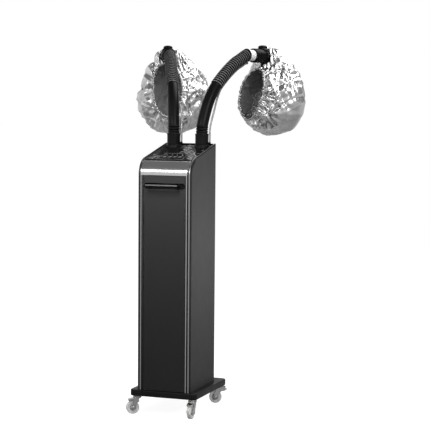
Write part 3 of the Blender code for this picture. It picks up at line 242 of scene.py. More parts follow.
# finishes: broad tone drift, smudged gloss and a fine surface, all on the piece's own coordinates
plainFinish = {
    "toneScale": 6, "toneDetail": 5, "smudgeScale": 18, "smudgeDetail": 4, "smudgeSpan": (0.3, 0.7),
    "grainScale": 900, "grainDetail": 3, "stretch": (1, 1, 1), "bump": 0.15, "bumpDepth": 0.0003,
    "metal": 0.0, "specular": 0.5, "clear": 0.0, "ior": 1.5, "crestHighlightPower": 7.0,
}
finishes = {
    "basePaint": {"shades": (0.006, 0.012), "rough": (0.34, 0.46), "grainScale": 1400, "bump": 0.2,
                  "specular": 0.11},
    "casterChrome": {"shades": (0.40, 0.54), "rough": (0.05, 0.12), "metal": 1.0, "bump": 0.03},
    "wheelClear": {"shades": ((0.80, 0.80, 0.79), (0.93, 0.93, 0.92)), "rough": (0.12, 0.28), "clear": 0.30,
                   "ior": 1.46, "bump": 0.05},
    "sideSatin": {"shades": (0.029, 0.034), "rough": (0.42, 0.48), "toneScale": 2.5, "grainScale": 700,
                  "stretch": (1, 1, 0.08), "bump": 0.10, "specular": 0.04},
    "rearPainted": {"shades": (0.018, 0.026), "rough": (0.45, 0.58), "grainScale": 1100, "bump": 0.3},
    "edgingSilver": {"shades": (0.32, 0.38), "rough": (0.30, 0.40), "metal": 1.0, "grainScale": 1200,
                     "stretch": (1, 0.03, 0.03), "bump": 0.08},
    # the left edging: the same silver painted dark, as painted shade
    "edgingPaintedShade": {"shades": (0.05, 0.07), "rough": (0.34, 0.44), "metal": 1.0, "grainScale": 1200,
                   "stretch": (1, 0.03, 0.03), "bump": 0.08},
    # a painted shadow line along the edging
    "lipDark": {"shades": (0.005, 0.008), "rough": (0.40, 0.50), "bump": 0.1, "specular": 0.05},
    "stripSilver": {"shades": (0.40, 0.48), "rough": (0.30, 0.40), "metal": 1.0, "grainScale": 1200,
                    "stretch": (1, 1, 0.03), "bump": 0.08},
    "printSilver": {"shades": (0.42, 0.52), "rough": (0.30, 0.42), "metal": 0.85, "grainScale": 1500,
                    "bump": 0.05},
    "bandSilver": {"shades": (0.56, 0.64), "rough": (0.15, 0.20), "metal": 1.0, "stretch": (0.02, 1, 1),
                   "bump": 0.02},
    "doorSatin": {"shades": (0.020, 0.025), "rough": (0.44, 0.50), "toneScale": 2.0, "grainScale": 800,
                  "stretch": (1, 1, 0.06), "bump": 0.10, "specular": 0.03},
    "mouldedBlack": {"shades": (0.002, 0.005), "rough": (0.30, 0.40), "grainScale": 1600, "bump": 0.2,
                     "specular": 0.09},
    "panelGloss": {"shades": (0.003, 0.005), "rough": (0.06, 0.12), "bump": 0.02, "specular": 0.04},
    "buttonGrey": {"shades": (0.03, 0.04), "rough": (0.40, 0.5), "grainScale": 2200},
    "handleGrey": {"shades": (0.055, 0.08), "rough": (0.30, 0.4), "grainScale": 1500, "stretch": (0.03, 1, 1),
                   "bump": 0.1, "metal": 0.4},
    "hoseBlack": {"shades": (0.002, 0.004), "rough": (0.28, 0.35), "bump": 0.12, "specular": 0.10},
    # the ribs carry a painted highlight along their crests
    "ribBlack": {"shades": (0.001, 0.002), "crestHighlight": 0.13, "rough": (0.28, 0.36), "bump": 0.12,
                 "specular": 0.04},
    "collarWhite": {"shades": (0.86, 0.92), "rough": (0.30, 0.42), "grainScale": 1500, "bump": 0.1},
    "tubeGrey": {"shades": (0.15, 0.21), "rough": (0.25, 0.40), "bump": 0.06, "clear": 0.08},
    "liningGrey": {"shades": (0.38, 0.45), "rough": (0.70, 0.85), "grainScale": 1500, "bump": 0.4},
    "cupBlack": {"shades": (0.002, 0.004), "rough": (0.40, 0.50), "grainScale": 1400, "bump": 0.2,
                 "specular": 0.08},
    "clipGrey": {"shades": (0.10, 0.16), "rough": (0.35, 0.45), "bump": 0.06},
    "hubGrey": {"shades": (0.03, 0.05), "rough": (0.35, 0.45), "bump": 0.1},
    "water": {"shades": ((0.80, 0.88, 0.90), (0.86, 0.92, 0.93)), "rough": (0.03, 0.06), "clear": 1.0,
              "ior": 1.33, "bump": 0.02},
    "innerSteel": {"shades": (0.45, 0.56), "rough": (0.25, 0.42), "metal": 1.0, "grainScale": 700,
                   "stretch": (1, 1, 0.05), "bump": 0.1},
    "tankFrosted": {"shades": ((0.72, 0.75, 0.77), (0.82, 0.84, 0.85)), "rough": (0.35, 0.5), "clear": 0.5,
                    "bump": 0.1},
    "ductRubber": {"shades": (0.02, 0.035), "rough": (0.55, 0.7), "grainScale": 800, "bump": 0.25},
    "boardGreen": {"shades": ((0.02, 0.09, 0.045), (0.03, 0.13, 0.06)), "rough": (0.35, 0.5),
                   "grainScale": 500, "bump": 0.2},
}


def makeFinish(name, s):
    material, tree, place = newMaterial(name)
    stretched = addNode(tree, "ShaderNodeMapping", {"Vector": place, "Scale": s["stretch"]}).outputs["Vector"]
    shade = mixColours(tree, noiseOn(tree, place, s["toneScale"], s["toneDetail"]), *s["shades"])
    # rib crests painted lighter: a painted highlight on each crest
    if "crestHighlight" in s:
        crest = addNode(tree, "ShaderNodeAttribute", attribute_name="crest").outputs["Fac"]
        shade = mixColours(tree, compute(tree, "POWER", crest, s["crestHighlightPower"]), shade, s["crestHighlight"])
    smudge = noiseOn(tree, place, s["smudgeScale"], s["smudgeDetail"])
    grain = noiseOn(tree, stretched, s["grainScale"], s["grainDetail"])
    plugIn(tree, tree.nodes["Principled BSDF"], {
        "Base Color": shade,
        "Roughness": mapRange(tree, smudge, *s["smudgeSpan"], *s["rough"]),
        "Normal": addBump(tree, grain, s["bump"], s["bumpDepth"]),
        "Metallic": s["metal"],
        "Specular IOR Level": s["specular"],
        "Transmission Weight": s["clear"],
        "IOR": s["ior"],
    })
    return material


finish = {name: makeFinish(name, {**plainFinish, **s}) for name, s in finishes.items()}

# crinkled foil cloth: facets and fine creases, with painted shade where the cloth folds in
foil = {
    "shades": (0.36, 0.80),
    "rough": (0.22, 0.34),
    "driftScale": 26,
    "driftDetail": 6,
    "driftSpan": (0.3, 0.7),
    "driftShare": 0.5,
    "foldShadeShare": 0.75,
    "warpScale": 30,
    "warpShare": 0.03,
    "creaseScale": 38,
    "fineScale": 120,
    "fineDetail": 4,
    "fineShare": 0.35,
    "bump": 0.55,
    "creaseDepth": 0.0004,
}


def makeFoil(name, s):
    material, tree, place = newMaterial(name)
    # the crease attribute is painted shade: darker where the cloth folds in and on the smooth lower side
    depth = addNode(tree, "ShaderNodeAttribute", attribute_name="crease").outputs["Fac"]
    drift = noiseOn(tree, place, s["driftScale"], s["driftDetail"])
    share = compute(tree, "MULTIPLY", depth, s["foldShadeShare"], use_clamp=True)
    weight = compute(tree, "MULTIPLY_ADD", drift, s["driftShare"], share)
    warp = addNode(tree, "ShaderNodeTexNoise", {"Vector": place, "Scale": s["warpScale"]}).outputs["Color"]
    bent = addNode(tree, "ShaderNodeMix", {0: s["warpShare"], 4: place, 5: warp}, data_type="VECTOR")
    facets = {"Vector": bent.outputs[1], "Scale": s["creaseScale"]}
    crease = addNode(tree, "ShaderNodeTexVoronoi", facets, feature="DISTANCE_TO_EDGE").outputs["Distance"]
    fine = noiseOn(tree, place, s["fineScale"], s["fineDetail"])
    total = compute(tree, "MULTIPLY_ADD", fine, s["fineShare"], crease)
    plugIn(tree, tree.nodes["Principled BSDF"], {
        "Base Color": mixColours(tree, weight, *s["shades"]),
        "Roughness": mapRange(tree, drift, *s["driftSpan"], *s["rough"]),
        "Normal": addBump(tree, total, s["bump"], s["creaseDepth"]),
        "Metallic": 1.0,
    })
    return material


finish["bonnetFoil"] = makeFoil("bonnetFoil", foil)
print("finishes:", len(finish))

# which carried-over solids get each finish, by the start of their names
nodeLooks = {
    "basePaint": ("base_plate",),
    "casterChrome": ("caster_fork", "brake_lever"),
    "wheelClear": ("caster_wheel",),
    "sideSatin": ("side_panel",),
    "edgingSilver": ("edge_trim",),
    "rearPainted": ("rear_panel",),
    "panelGloss": ("top_panel", "control_overlay"),
    "buttonGrey": ("button",),
    "boardGreen": ("control_board",),
    "bandSilver": ("front_frame",),
    "doorSatin": ("door",),
    "handleGrey": ("handle_bar",),
    "mouldedBlack": ("handle_cup", "power", "tank_cap", "hose_socket", "hose_cuff", "hood_"),
    "innerSteel": ("hinge_pin", "tank_shelf", "boiler"),
    "tankFrosted": ("water_tank",),
    "ductRubber": ("steam_duct",),
    "tubeGrey": ("feed_tube", "drain_tube"),
    "hoseBlack": ("hose_sleeve", "ribbed_hose"),
    "collarWhite": ("hose_collar",),
    "bonnetFoil": ("bonnet",),
}
for nodeName, node in cadNodes.items():
    look = next(look for look, starts in nodeLooks.items() if nodeName.startswith(starts))
    if not node.material_slots:
        node.data.materials.append(finish[look])
    for slot in node.material_slots:
        slot.material = finish[look]


# mesh helpers: rings of points, the faces between them, and what is made from those
def tidyMesh(mesh, gap=1e-6):
    shape = bmesh.new()
    shape.from_mesh(mesh)
    bmesh.ops.remove_doubles(shape, verts=shape.verts, dist=gap)
    bmesh.ops.recalc_face_normals(shape, faces=shape.faces)
    shape.to_mesh(mesh)
    shape.free()


def sharpenAt(mesh, degrees):
    mesh.shade_smooth()
    mesh.set_sharp_from_angle(angle=math.radians(degrees))


def meshFrom(name, points, faces):
    mesh = bpy.data.meshes.new(name)
    mesh.from_pydata([tuple(p) for p in points], [], faces)
    mesh.validate()
    tidyMesh(mesh)
    mesh.shade_smooth()
    return mesh


def circle(count):
    return [(math.cos(math.tau * step / count), math.sin(math.tau * step / count)) for step in range(count)]


def quarter(steps):
    turns = [math.pi / 2 * step / steps for step in range(steps + 1)]
    return [(math.cos(turn), math.sin(turn)) for turn in turns]


def ease(share):
    return share * share * (3 - 2 * share)


# the last ring joins the first, or both end rings are filled, or they stay open
def ringFaces(rows, count, ends):
    faces = []
    for row in range(rows if ends == "joined" else rows - 1):
        first, second = row * count, (row + 1) % rows * count
        for step in range(count):
            following = (step + 1) % count
            faces.append((first + step, first + following, second + following, second + step))
    if ends == "filled":
        faces.append(tuple(reversed(range(count))))
        faces.append(tuple(range((rows - 1) * count, rows * count)))
    return faces


def ringStack(name, rings, sharp=40, ends="filled"):
    mesh = meshFrom(name, [p for ring in rings for p in ring], ringFaces(len(rings), len(rings[0]), ends))
    sharpenAt(mesh, sharp)
    return mesh


def latheMesh(name, profile, around, matrix, sharp=40):
    rings = []
    for wide, deep in circle(around):
        rings.append([matrix @ Vector((radius * wide, radius * deep, height)) for radius, height in profile])
    return ringStack(name, rings, sharp, "joined")


def sweepMesh(name, points, radii, around, closed=False):
    points = [Vector(p) for p in points]
    last = len(points) - 1
    rings = []
    normal = None
    for index, point in enumerate(points):
        if closed:
            ahead = (points[(index + 1) % (last + 1)] - points[index - 1]).normalized()
        else:
            ahead = (points[min(index + 1, last)] - points[max(index - 1, 0)]).normalized()
        if normal is None:
            normal = ahead.orthogonal().normalized()
        normal = (normal - ahead * normal.dot(ahead)).normalized()
        across = ahead.cross(normal)
        spokes = [normal * wide + across * deep for wide, deep in circle(around)]
        rings.append([point + spoke * radii[index] for spoke in spokes])
    faces = ringFaces(last + 1, around, "joined" if closed else "filled")
    return meshFrom(name, [p for ring in rings for p in ring], faces)


def roundedOutline(low, high, radius, steps=8):
    (x0, y0), (x1, y1) = low, high
    corners = ((x1 - radius, y1 - radius), (x0 + radius, y1 - radius), (x0 + radius, y0 + radius),
               (x1 - radius, y0 + radius))
    outline = []
    for number, (x, y) in enumerate(corners):
        for step in range(steps + 1):
            angle = math.pi / 2 * (number + step / steps)
            outline.append((x + radius * math.cos(angle), y + radius * math.sin(angle)))
    return outline


def roundedBlock(name, low, high, corner, edge, matrix=None, steps=4, leastCorner=0.0001, sharp=50):
    matrix = matrix or Matrix()
    levels = [(edge * (1 - sine), edge * (1 - cosine)) for cosine, sine in quarter(steps)]
    rows = [(inset, low[2] + rise) for inset, rise in levels]
    rows += [(inset, high[2] - rise) for inset, rise in reversed(levels)]
    rings = []
    for inset, height in rows:
        outline = roundedOutline((low[0] + inset, low[1] + inset), (high[0] - inset, high[1] - inset),
                                 max(corner - inset, leastCorner))
        rings.append([matrix @ Vector((x, y, height)) for x, y in outline])
    return ringStack(name, rings, sharp)


def prismMesh(name, outline, low, high, matrix, sharp=30):
    return ringStack(name, [[matrix @ Vector((x, *p)) for p in outline] for x in (low, high)], sharp)


def stripMesh(name, outer, inner, low, high):
    rows = len(outer)
    verts = []
    for x in (low, high):
        verts += [(x, *p) for p in outer]
        verts += [(x, *p) for p in inner]
    faces = []
    for row in range(rows - 1):
        for first, second in ((0, 2), (1, 3), (0, 1), (2, 3)):
            a, b = first * rows + row, second * rows + row
            faces.append((a, a + 1, b + 1, b))
    for row in (0, rows - 1):
        faces.append(tuple(skin * rows + row for skin in (0, 1, 3, 2)))
    return meshFrom(name, verts, faces)


def joinMeshes(name, *meshes, sharp=40):
    shape = bmesh.new()
    for mesh in meshes:
        shape.from_mesh(mesh)
    result = bpy.data.meshes.new(name)
    shape.to_mesh(result)
    shape.free()
    for mesh in meshes:
        bpy.data.meshes.remove(mesh)
    sharpenAt(result, sharp)
    return result


def newObject(name, data):
    item = bpy.data.objects.new(name, data)
    scene.collection.objects.link(item)
    return item


# the shape that an object's modifiers give, as a plain mesh; the object itself goes
def settledMesh(name, item):
    bpy.context.view_layer.update()
    depsgraph = bpy.context.evaluated_depsgraph_get()
    mesh = bpy.data.meshes.new_from_object(item.evaluated_get(depsgraph), depsgraph=depsgraph)
    mesh.name = name
    bpy.data.objects.remove(item)
    return mesh


def carve(name, mesh, *cutters, sharp=30):
    target = newObject(name + "Carve", mesh)
    tools = [newObject(name + "Tool" + str(number), cutter) for number, cutter in enumerate(cutters)]
    for tool in tools:
        cut = target.modifiers.new("cut", "BOOLEAN")
        cut.operation = "DIFFERENCE"
        cut.solver = "EXACT"
        cut.object = tool
    result = settledMesh(name, target)
    for tool in tools:
        bpy.data.objects.remove(tool)
    tidyMesh(result)
    sharpenAt(result, sharp)
    return result


def roundEdges(piece, width, segments=3, limit=40):
    bevel = piece.modifiers.new("edges", "BEVEL")
    bevel.width = width
    bevel.segments = segments
    bevel.limit_method = "ANGLE"
    bevel.angle_limit = math.radians(limit)
    bevel.harden_normals = True


def dress(name, mesh, looks):
    piece = newObject(name, mesh)
    mesh.materials.clear()
    for look in looks:
        mesh.materials.append(finish[look])
    return piece


# a piece on a body, with the solids that it stands for, if any
def addPiece(name, mesh, body, looks, slotName, *nodes):
    piece = dress(name, mesh, [looks] if isinstance(looks, str) else looks)
    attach(piece, body)
    if nodes:
        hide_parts(*nodes)
    return piece


# node trees for what repeats: named inputs first, real geometry with its finish last
def startTree(name, inputs):
    tree = bpy.data.node_groups.new(name, "GeometryNodeTree")
    tree.interface.new_socket("Geometry", in_out="INPUT", socket_type="NodeSocketGeometry")
    for title, kind in inputs.items():
        tree.interface.new_socket(title, in_out="INPUT", socket_type="NodeSocket" + kind)
    tree.interface.new_socket("Geometry", in_out="OUTPUT", socket_type="NodeSocketGeometry")
    return tree, addNode(tree, "NodeGroupInput").outputs


def endTree(tree, geometry, material):
    real = addNode(tree, "GeometryNodeRealizeInstances", {"Geometry": geometry})
    sockets = {"Geometry": real.outputs["Geometry"], "Material": material}
    clad = addNode(tree, "GeometryNodeSetMaterial", sockets)
    addNode(tree, "NodeGroupOutput", {"Geometry": clad.outputs["Geometry"]})
    return tree


def runTree(name, source, tree, values):
    carrier = newObject(name + "Source", source)
    modifier = carrier.modifiers.new("nodes", "NODES")
    modifier.node_group = tree
    for item in tree.interface.items_tree:
        if item.in_out == "INPUT" and item.name in values:
            modifier[item.identifier] = values[item.name]
    return settledMesh(name, carrier)


# one tree sets an item on points, each turned and sized by the point's own attributes
pointValues = {"facing": "FLOAT_VECTOR", "heading": "FLOAT_VECTOR", "size": "FLOAT"}


def makeScatterTree():
    tree, given = startTree("setOnPoints", {"Item": "Object", "Finish": "Material"})
    own = {}
    for name, kind in pointValues.items():
        attribute = addNode(tree, "GeometryNodeInputNamedAttribute", {"Name": name}, data_type=kind)
        own[name] = attribute.outputs["Attribute"]
    align = "FunctionNodeAlignRotationToVector"
    upright = addNode(tree, align, {"Vector": own["facing"]}, axis="Z").outputs["Rotation"]
    turned = addNode(tree, align, {"Rotation": upright, "Vector": own["heading"]}, axis="X", pivot_axis="Z")
    item = addNode(tree, "GeometryNodeObjectInfo", {"Object": given["Item"]}, transform_space="ORIGINAL")
    copies = addNode(tree, "GeometryNodeInstanceOnPoints", {
        "Points": given["Geometry"],
        "Instance": item.outputs["Geometry"],
        "Rotation": turned.outputs["Rotation"],
        "Scale": own["size"],
    })
    return endTree(tree, copies.outputs["Instances"], given["Finish"])


scatterTree = makeScatterTree()


# each place is a point, the way its item faces, the way its item heads, and its size
def scatter(name, itemMesh, places, look):
    points = bpy.data.meshes.new(name + "Points")
    points.from_pydata([place[0] for place in places], [], [])
    for column, (title, kind) in enumerate(pointValues.items(), 1):
        data = points.attributes.new(title, kind, "POINT").data
        if kind == "FLOAT":
            data.foreach_set("value", [place[column] for place in places])
        else:
            data.foreach_set("vector", [part for place in places for part in place[column]])
    item = newObject(name + "Item", itemMesh)
    mesh = runTree(name, points, scatterTree, {"Item": item, "Finish": finish[look]})
    bpy.data.objects.remove(item)
    return mesh


def scatterPiece(name, itemMesh, places, body, look, slotName, sharp=40):
    mesh = scatter(name, itemMesh, places, look)
    sharpenAt(mesh, sharp)
    return addPiece(name, mesh, body, look, slotName)


# hose line: reach from the cuff's axis and height over the cuff's top, in each hose's own upright plane
hoseLine = {
    "route": (
        (0.0, -0.017), (0.0, 0.004), (0.002, 0.028), (0.0105, 0.060), (0.0350, 0.1220), (0.0680, 0.1750),
        (0.1013, 0.2101), (0.1450, 0.2475), (0.1881, 0.2780), (0.2176, 0.2925), (0.2380, 0.3035),
        (0.2540, 0.3110), (0.2600, 0.3110), (0.2660, 0.3110),
    ),
    "steps": 16,
    "cuffX": 0.059,
    "cuffY": 0.108,
    "cuffTop": 1.077,
    "inCuff": 0.017,
    "splay": {"left": math.radians(25.5), "right": math.radians(23.5)},
    "bends": (0.25, 0.425),
}
sides = (("left", -1), ("right", 1))


def smoothRoute(points, steps):
    points = [Vector(p) for p in points]
    chain = [points[0] * 2 - points[1], *points, points[-1] * 2 - points[-2]]
    result = []
    for p0, p1, p2, p3 in zip(chain, chain[1:], chain[2:], chain[3:]):
        for step in range(steps):
            t = step / steps
            bend = 2 * p0 - 5 * p1 + 4 * p2 - p3
            twist = 3 * p1 - p0 - 3 * p2 + p3
            result.append(0.5 * (2 * p1 + (p2 - p0) * t + bend * t ** 2 + twist * t ** 3))
    return [*result, points[-1]]


class HoseCurve:
    def __init__(self, points, steps):
        self.points = smoothRoute(points, steps)
        self.reach = [0.0]
        for first, second in zip(self.points, self.points[1:]):
            self.reach.append(self.reach[-1] + (second - first).length)
        self.length = self.reach[-1]

    def at(self, distance):
        for index in range(1, len(self.points)):
            if self.reach[index] >= distance or index == len(self.points) - 1:
                before = self.reach[index - 1]
                share = (distance - before) / (self.reach[index] - before)
                return self.points[index - 1].lerp(self.points[index], share)

    def ahead(self, distance, step=0.001):
        near = self.at(max(distance - step, 0.0))
        far = self.at(min(distance + step, self.length))
        return (far - near).normalized()


hoseCurve = HoseCurve([(0.0, reach, height) for reach, height in hoseLine["route"]], hoseLine["steps"])
armEnd = hoseCurve.points[-1]


def columnFrame(side, sign):
    turn = Matrix.Rotation(-sign * hoseLine["splay"][side], 4, "Z")
    return Matrix.Translation((sign * hoseLine["cuffX"], hoseLine["cuffY"], hoseLine["cuffTop"])) @ turn


def armFrame(side, sign):
    return columnFrame(side, sign) @ Matrix.Translation(armEnd)


# what lies along the hose from the cuff to the arm, over the bend: dressed, set in place on no body, standing
# for its solid
def addBending(name, mesh, look, node):
    piece = dress(name, mesh, [look])
    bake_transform(piece)
    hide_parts(node)


# ribbed hose: a node tree that swells a tube along its line
ribbedHose = {"ribs": 22, "crest": 0.0245, "valley": 0.0192, "fullness": 0.75, "around": 40, "rows": 440,
              "start": 0.2253, "stations": 160}


def makeRibTree():
    tree, given = startTree("hoseRibs", {"Ribs": "Int", "Rows": "Int", "Around": "Int", "Crest": "Float",
                                         "Valley": "Float", "Fullness": "Float", "Finish": "Material"})
    spaced = addNode(tree, "GeometryNodeResampleCurve", {"Curve": given["Geometry"], "Count": given["Rows"]})
    along = addNode(tree, "GeometryNodeSplineParameter").outputs["Factor"]
    angle = compute(tree, "MULTIPLY", compute(tree, "MULTIPLY", along, given["Ribs"]), math.pi)
    wave = compute(tree, "ABSOLUTE", compute(tree, "SINE", angle))
    rounded = compute(tree, "POWER", wave, given["Fullness"])
    radius = mapRange(tree, rounded, 0.0, 1.0, given["Valley"], given["Crest"])
    ring = addNode(tree, "GeometryNodeCurvePrimitiveCircle", {"Resolution": given["Around"], "Radius": 1.0})
    tube = addNode(tree, "GeometryNodeCurveToMesh", {
        "Curve": spaced.outputs["Curve"],
        "Profile Curve": ring.outputs["Curve"],
        "Scale": radius,
        "Fill Caps": True,
    })
    return endTree(tree, tube.outputs["Mesh"], given["Finish"])


def lineCurve(name, points):
    curve = bpy.data.curves.new(name, "CURVE")
    curve.dimensions = "3D"
    spline = curve.splines.new("POLY")
    spline.points.add(len(points) - 1)
    for item, point in zip(spline.points, points):
        item.co = (*point, 1)
    return curve


ribTree = makeRibTree()


def makeRibbedHose(side, sign, s):
    place = columnFrame(side, sign)
    run = hoseCurve.length - s["start"]
    shares = [index / s["stations"] for index in range(s["stations"] + 1)]
    points = [place @ hoseCurve.at(s["start"] + run * share) for share in shares]
    name = "ribbedHose_" + side
    values = {"Ribs": s["ribs"], "Rows": s["rows"], "Around": s["around"], "Crest": s["crest"],
              "Valley": s["valley"], "Fullness": s["fullness"], "Finish": finish["ribBlack"]}
    mesh = runTree(name, lineCurve("ribLine_" + side, points), ribTree, values)
    tidyMesh(mesh)
    mesh.shade_smooth()
    line = np.array([tuple(p) for p in points])
    skin = np.array([tuple(v.co) for v in mesh.vertices])
    away = np.min(np.linalg.norm(skin[:, None] - line[None], axis=2), axis=1)
    # closeness to the crest: the mask of the ribs' painted highlight
    crest = np.clip((away - s["valley"]) / (s["crest"] - s["valley"]), 0, 1)
    mesh.attributes.new("crest", "FLOAT", "POINT").data.foreach_set("value", crest)
    addBending(name, mesh, "ribBlack", "ribbed_hose_" + side)


# drain tube: up from the cuff's lug, round to the hose's underside, and off it at the tip
drainTube = {"radius": 0.0037, "around": 16, "offset": 0.033, "lugDrop": 0.0385, "lugHeight": 0.006,
             "straight": 0.022, "stations": 60, "steps": 3, "fromCuff": 0.012, "touchesAt": 0.55,
             "fit": 0.0003, "hoseGap": 0.0006, "endGap": 0.004, "tipDrop": 0.0026, "tipRun": 0.08}
tubeReach = ribbedHose["crest"] + drainTube["radius"] + drainTube["hoseGap"]


def makeDrainTube(side, sign, s):
    place = columnFrame(side, sign)
    splay = sign * hoseLine["splay"][side]
    rest = s["lugHeight"] + s["fit"] - s["lugDrop"]
    foot = Matrix.Rotation(splay, 4, "Z") @ Vector((s["offset"], 0, rest))
    points = [foot + Vector((0, 0, s["straight"] * share)) for share in (0, 0.5, 1)]
    start = hoseLine["inCuff"] + s["fromCuff"]
    end = hoseCurve.length - s["endGap"]
    for index in range(s["stations"] + 1):
        share = index / s["stations"]
        distance = start + (end - start) * share
        ahead = hoseCurve.ahead(distance)
        under = Vector((0, ahead.z, -ahead.y))
        settle = ease(min(share / s["touchesAt"], 1.0))
        angle = splay * (1 - settle) + math.pi / 2 * settle
        tip = ease(max(0.0, (share - 1 + s["tipRun"]) / s["tipRun"]))
        radius = s["offset"] * (1 - settle) + tubeReach * settle + s["tipDrop"] * tip
        outward = under * math.sin(angle) + Vector((math.cos(angle), 0, 0))
        points.append(hoseCurve.at(distance) + outward * radius)
    points = [place @ p for p in smoothRoute(points, s["steps"])]
    name = "drainTube_" + side
    mesh = sweepMesh(name, points, [s["radius"]] * len(points), s["around"])
    addBending(name, mesh, "tubeGrey", "drain_tube_" + side)


# smooth lower sleeve with a few ribs at its ankle
sleeve = {"length": 0.225, "radius": 0.0225, "rib": 0.0242, "valley": 0.0204, "ribs": 3, "pitch": 0.009,
          "fullness": 0.7, "ankle": 0.021, "step": 0.0015, "around": 48, "lip": 0.0006, "sharp": 60}


def makeSleeve(side, sign, s):
    place = columnFrame(side, sign)
    count = round(s["length"] / s["step"])
    points = []
    radii = []
    for index in range(count + 1):
        distance = s["length"] * index / count
        points.append(place @ hoseCurve.at(distance))
        turn = (distance - s["ankle"]) / s["pitch"]
        if 0 < turn < s["ribs"]:
            swell = abs(math.sin(math.pi * turn)) ** s["fullness"]
            radii.append(s["valley"] + (s["rib"] - s["valley"]) * swell)
        else:
            radii.append(s["radius"])
    radii[0] -= s["lip"]
    radii[-1] -= s["lip"]
    name = "hoseSleeve_" + side
    mesh = sweepMesh(name, points, radii, s["around"])
    sharpenAt(mesh, s["sharp"])
    addPiece(name, mesh, "hose_" + side, "hoseBlack", "hose_black", "hose_sleeve_" + side)


for side, sign in sides:
    makeRibbedHose(side, sign, ribbedHose)
    makeDrainTube(side, sign, drainTube)
    makeSleeve(side, sign, sleeve)
print("hoses ready")

# bonnets: a round foil cloth gathered to its mouth, hung from the end cylinder
bonnet = {
    # height over the arm, reach from the cuff's axis, half width, half depth, share of the sideways hang
    "rings": (
        (0.0295, 0.393, 0.030, 0.020, 0.1), (0.016, 0.395, 0.050, 0.031, 0.3),
        (-0.003, 0.399, 0.067, 0.037, 0.5), (-0.043, 0.414, 0.098, 0.052, 0.9),
        (-0.088, 0.416, 0.127, 0.092, 1.0), (-0.138, 0.415, 0.146, 0.109, 1.0),
        (-0.188, 0.412, 0.152, 0.112, 1.0), (-0.238, 0.411, 0.142, 0.105, 1.0),
        (-0.283, 0.412, 0.112, 0.084, 1.0), (-0.311, 0.413, 0.073, 0.055, 1.0),
    ),
    "top": 0.0345,
    "bottom": -0.324,
    "closing": (0.020, 0.014),
    "levels": 721,
    "blur": (24, 9.0),
    "middle": (0.413, -0.165),
    "hang": {"left": 0.031, "right": 0.003},
    "mouthShift": {"left": -0.002, "right": -0.036},
    "mouthLean": {"left": 0.0, "right": 0.12},
    "mouthHeight": {"left": -0.140, "right": -0.156},
    "mouthHalf": {"left": (0.061, 0.111), "right": (0.079, 0.103)},
    "mouthLeast": 0.02,
    "around": 280,
    "along": 150,
    "crowding": 1.15,
    "furthest": 0.40,
    "halvings": 30,
    "leastHalf": 1e-5,
    "neck": (0.0, 0.372, 0.0),
    "neckHole": (0.0297, 0.1113),
    "merge": 1e-5,
    "thick": 0.0011,
    "seed": {"left": 3.7, "right": 11.2},
    "cut": 0.565,
}
# folds: how many round the mouth or neck, how deep, and how far from it they reach
folds = {
    "level": 0.6,
    "pleats": 30, "pleatDepth": 0.0055, "pleatReach": 0.055, "pleatWander": 2,
    "broad": 13, "broadDepth": 0.0066, "broadFrom": 0.06, "broadReach": 0.07, "broadWander": 1.5,
    "broadLean": 6,
    "ruffles": 60, "ruffleDepth": 0.0040, "ruffleReach": 0.020,
    "gathers": 22, "gatherDepth": 0.0075, "gatherReach": 0.10, "gatherWander": 3, "gatherScale": 9,
    "gatherCentre": 0.41, "gatherSeed": (1.3, 0.7),
    "wander": 1.6, "wanderScale": 3,
    "size": (0.75, 0.5), "sizeScale": 5, "sizeShift": 4.0,
}
# creases: count, shortest and longest wave, slope, and the level under which a wave is cut flat
creases = {
    "sets": ((4, 0.060, 0.110, 0.20, -1), (7, 0.050, 0.090, 0.65, 0.5), (5, 0.026, 0.048, 0.20, -1),
             (4, 0.012, 0.018, 0.07, -1)),
    "bend": 0.003, "bendScale": 9,
    "patchScale": 0.6, "patchShift": 9, "patchLevel": 0.5, "patchGain": 1.6,
    "plainWay": (0.55, 0.35, -0.75), "plainFrom": 0.35, "plainRun": 0.4, "plainCalm": 0.75,
    "rimRun": 0.02, "neckFrom": 0.03, "neckRun": 0.05,
    # painted shade of the foil: a base level, darker where the cloth folds in and on the smooth lower side
    "shade": 0.55, "foldShadeGain": 60, "plainSideShade": 0.4,
}
hem = {"stations": 480, "every": 4, "steps": 6, "radius": 0.0036, "swell": 0.0016, "ruffles": 60,
       "wander": 1.5, "wanderScale": 4, "wanderSeed": 2, "around": 12}


def clamp(value):
    return max(0.0, min(1.0, value))


def bagProfile(s):
    rows = np.array(s["rings"])[::-1]
    heights = np.concatenate(([s["bottom"]], rows[:, 0], [s["top"]]))
    fine = np.linspace(s["bottom"], s["top"], s["levels"])
    reach, width = s["blur"]
    blur = np.exp(-0.5 * (np.arange(-reach, reach + 1) / width) ** 2)
    blur /= blur.sum()
    columns = []
    for column in rows.T[1:]:
        values = np.interp(fine, heights, np.pad(column, 1, "edge"))
        columns.append(np.convolve(np.pad(values, reach, "edge"), blur, "valid"))
    low = np.sqrt(np.clip((fine - s["bottom"]) / s["closing"][0], 0, 1))
    high = np.sqrt(np.clip((s["top"] - fine) / s["closing"][1], 0, 1))
    columns[1] *= low * high
    columns[2] *= low * high
    return fine, columns


def bagValues(profile, heights):
    fine, columns = profile
    return [np.interp(heights, fine, column) for column in columns]


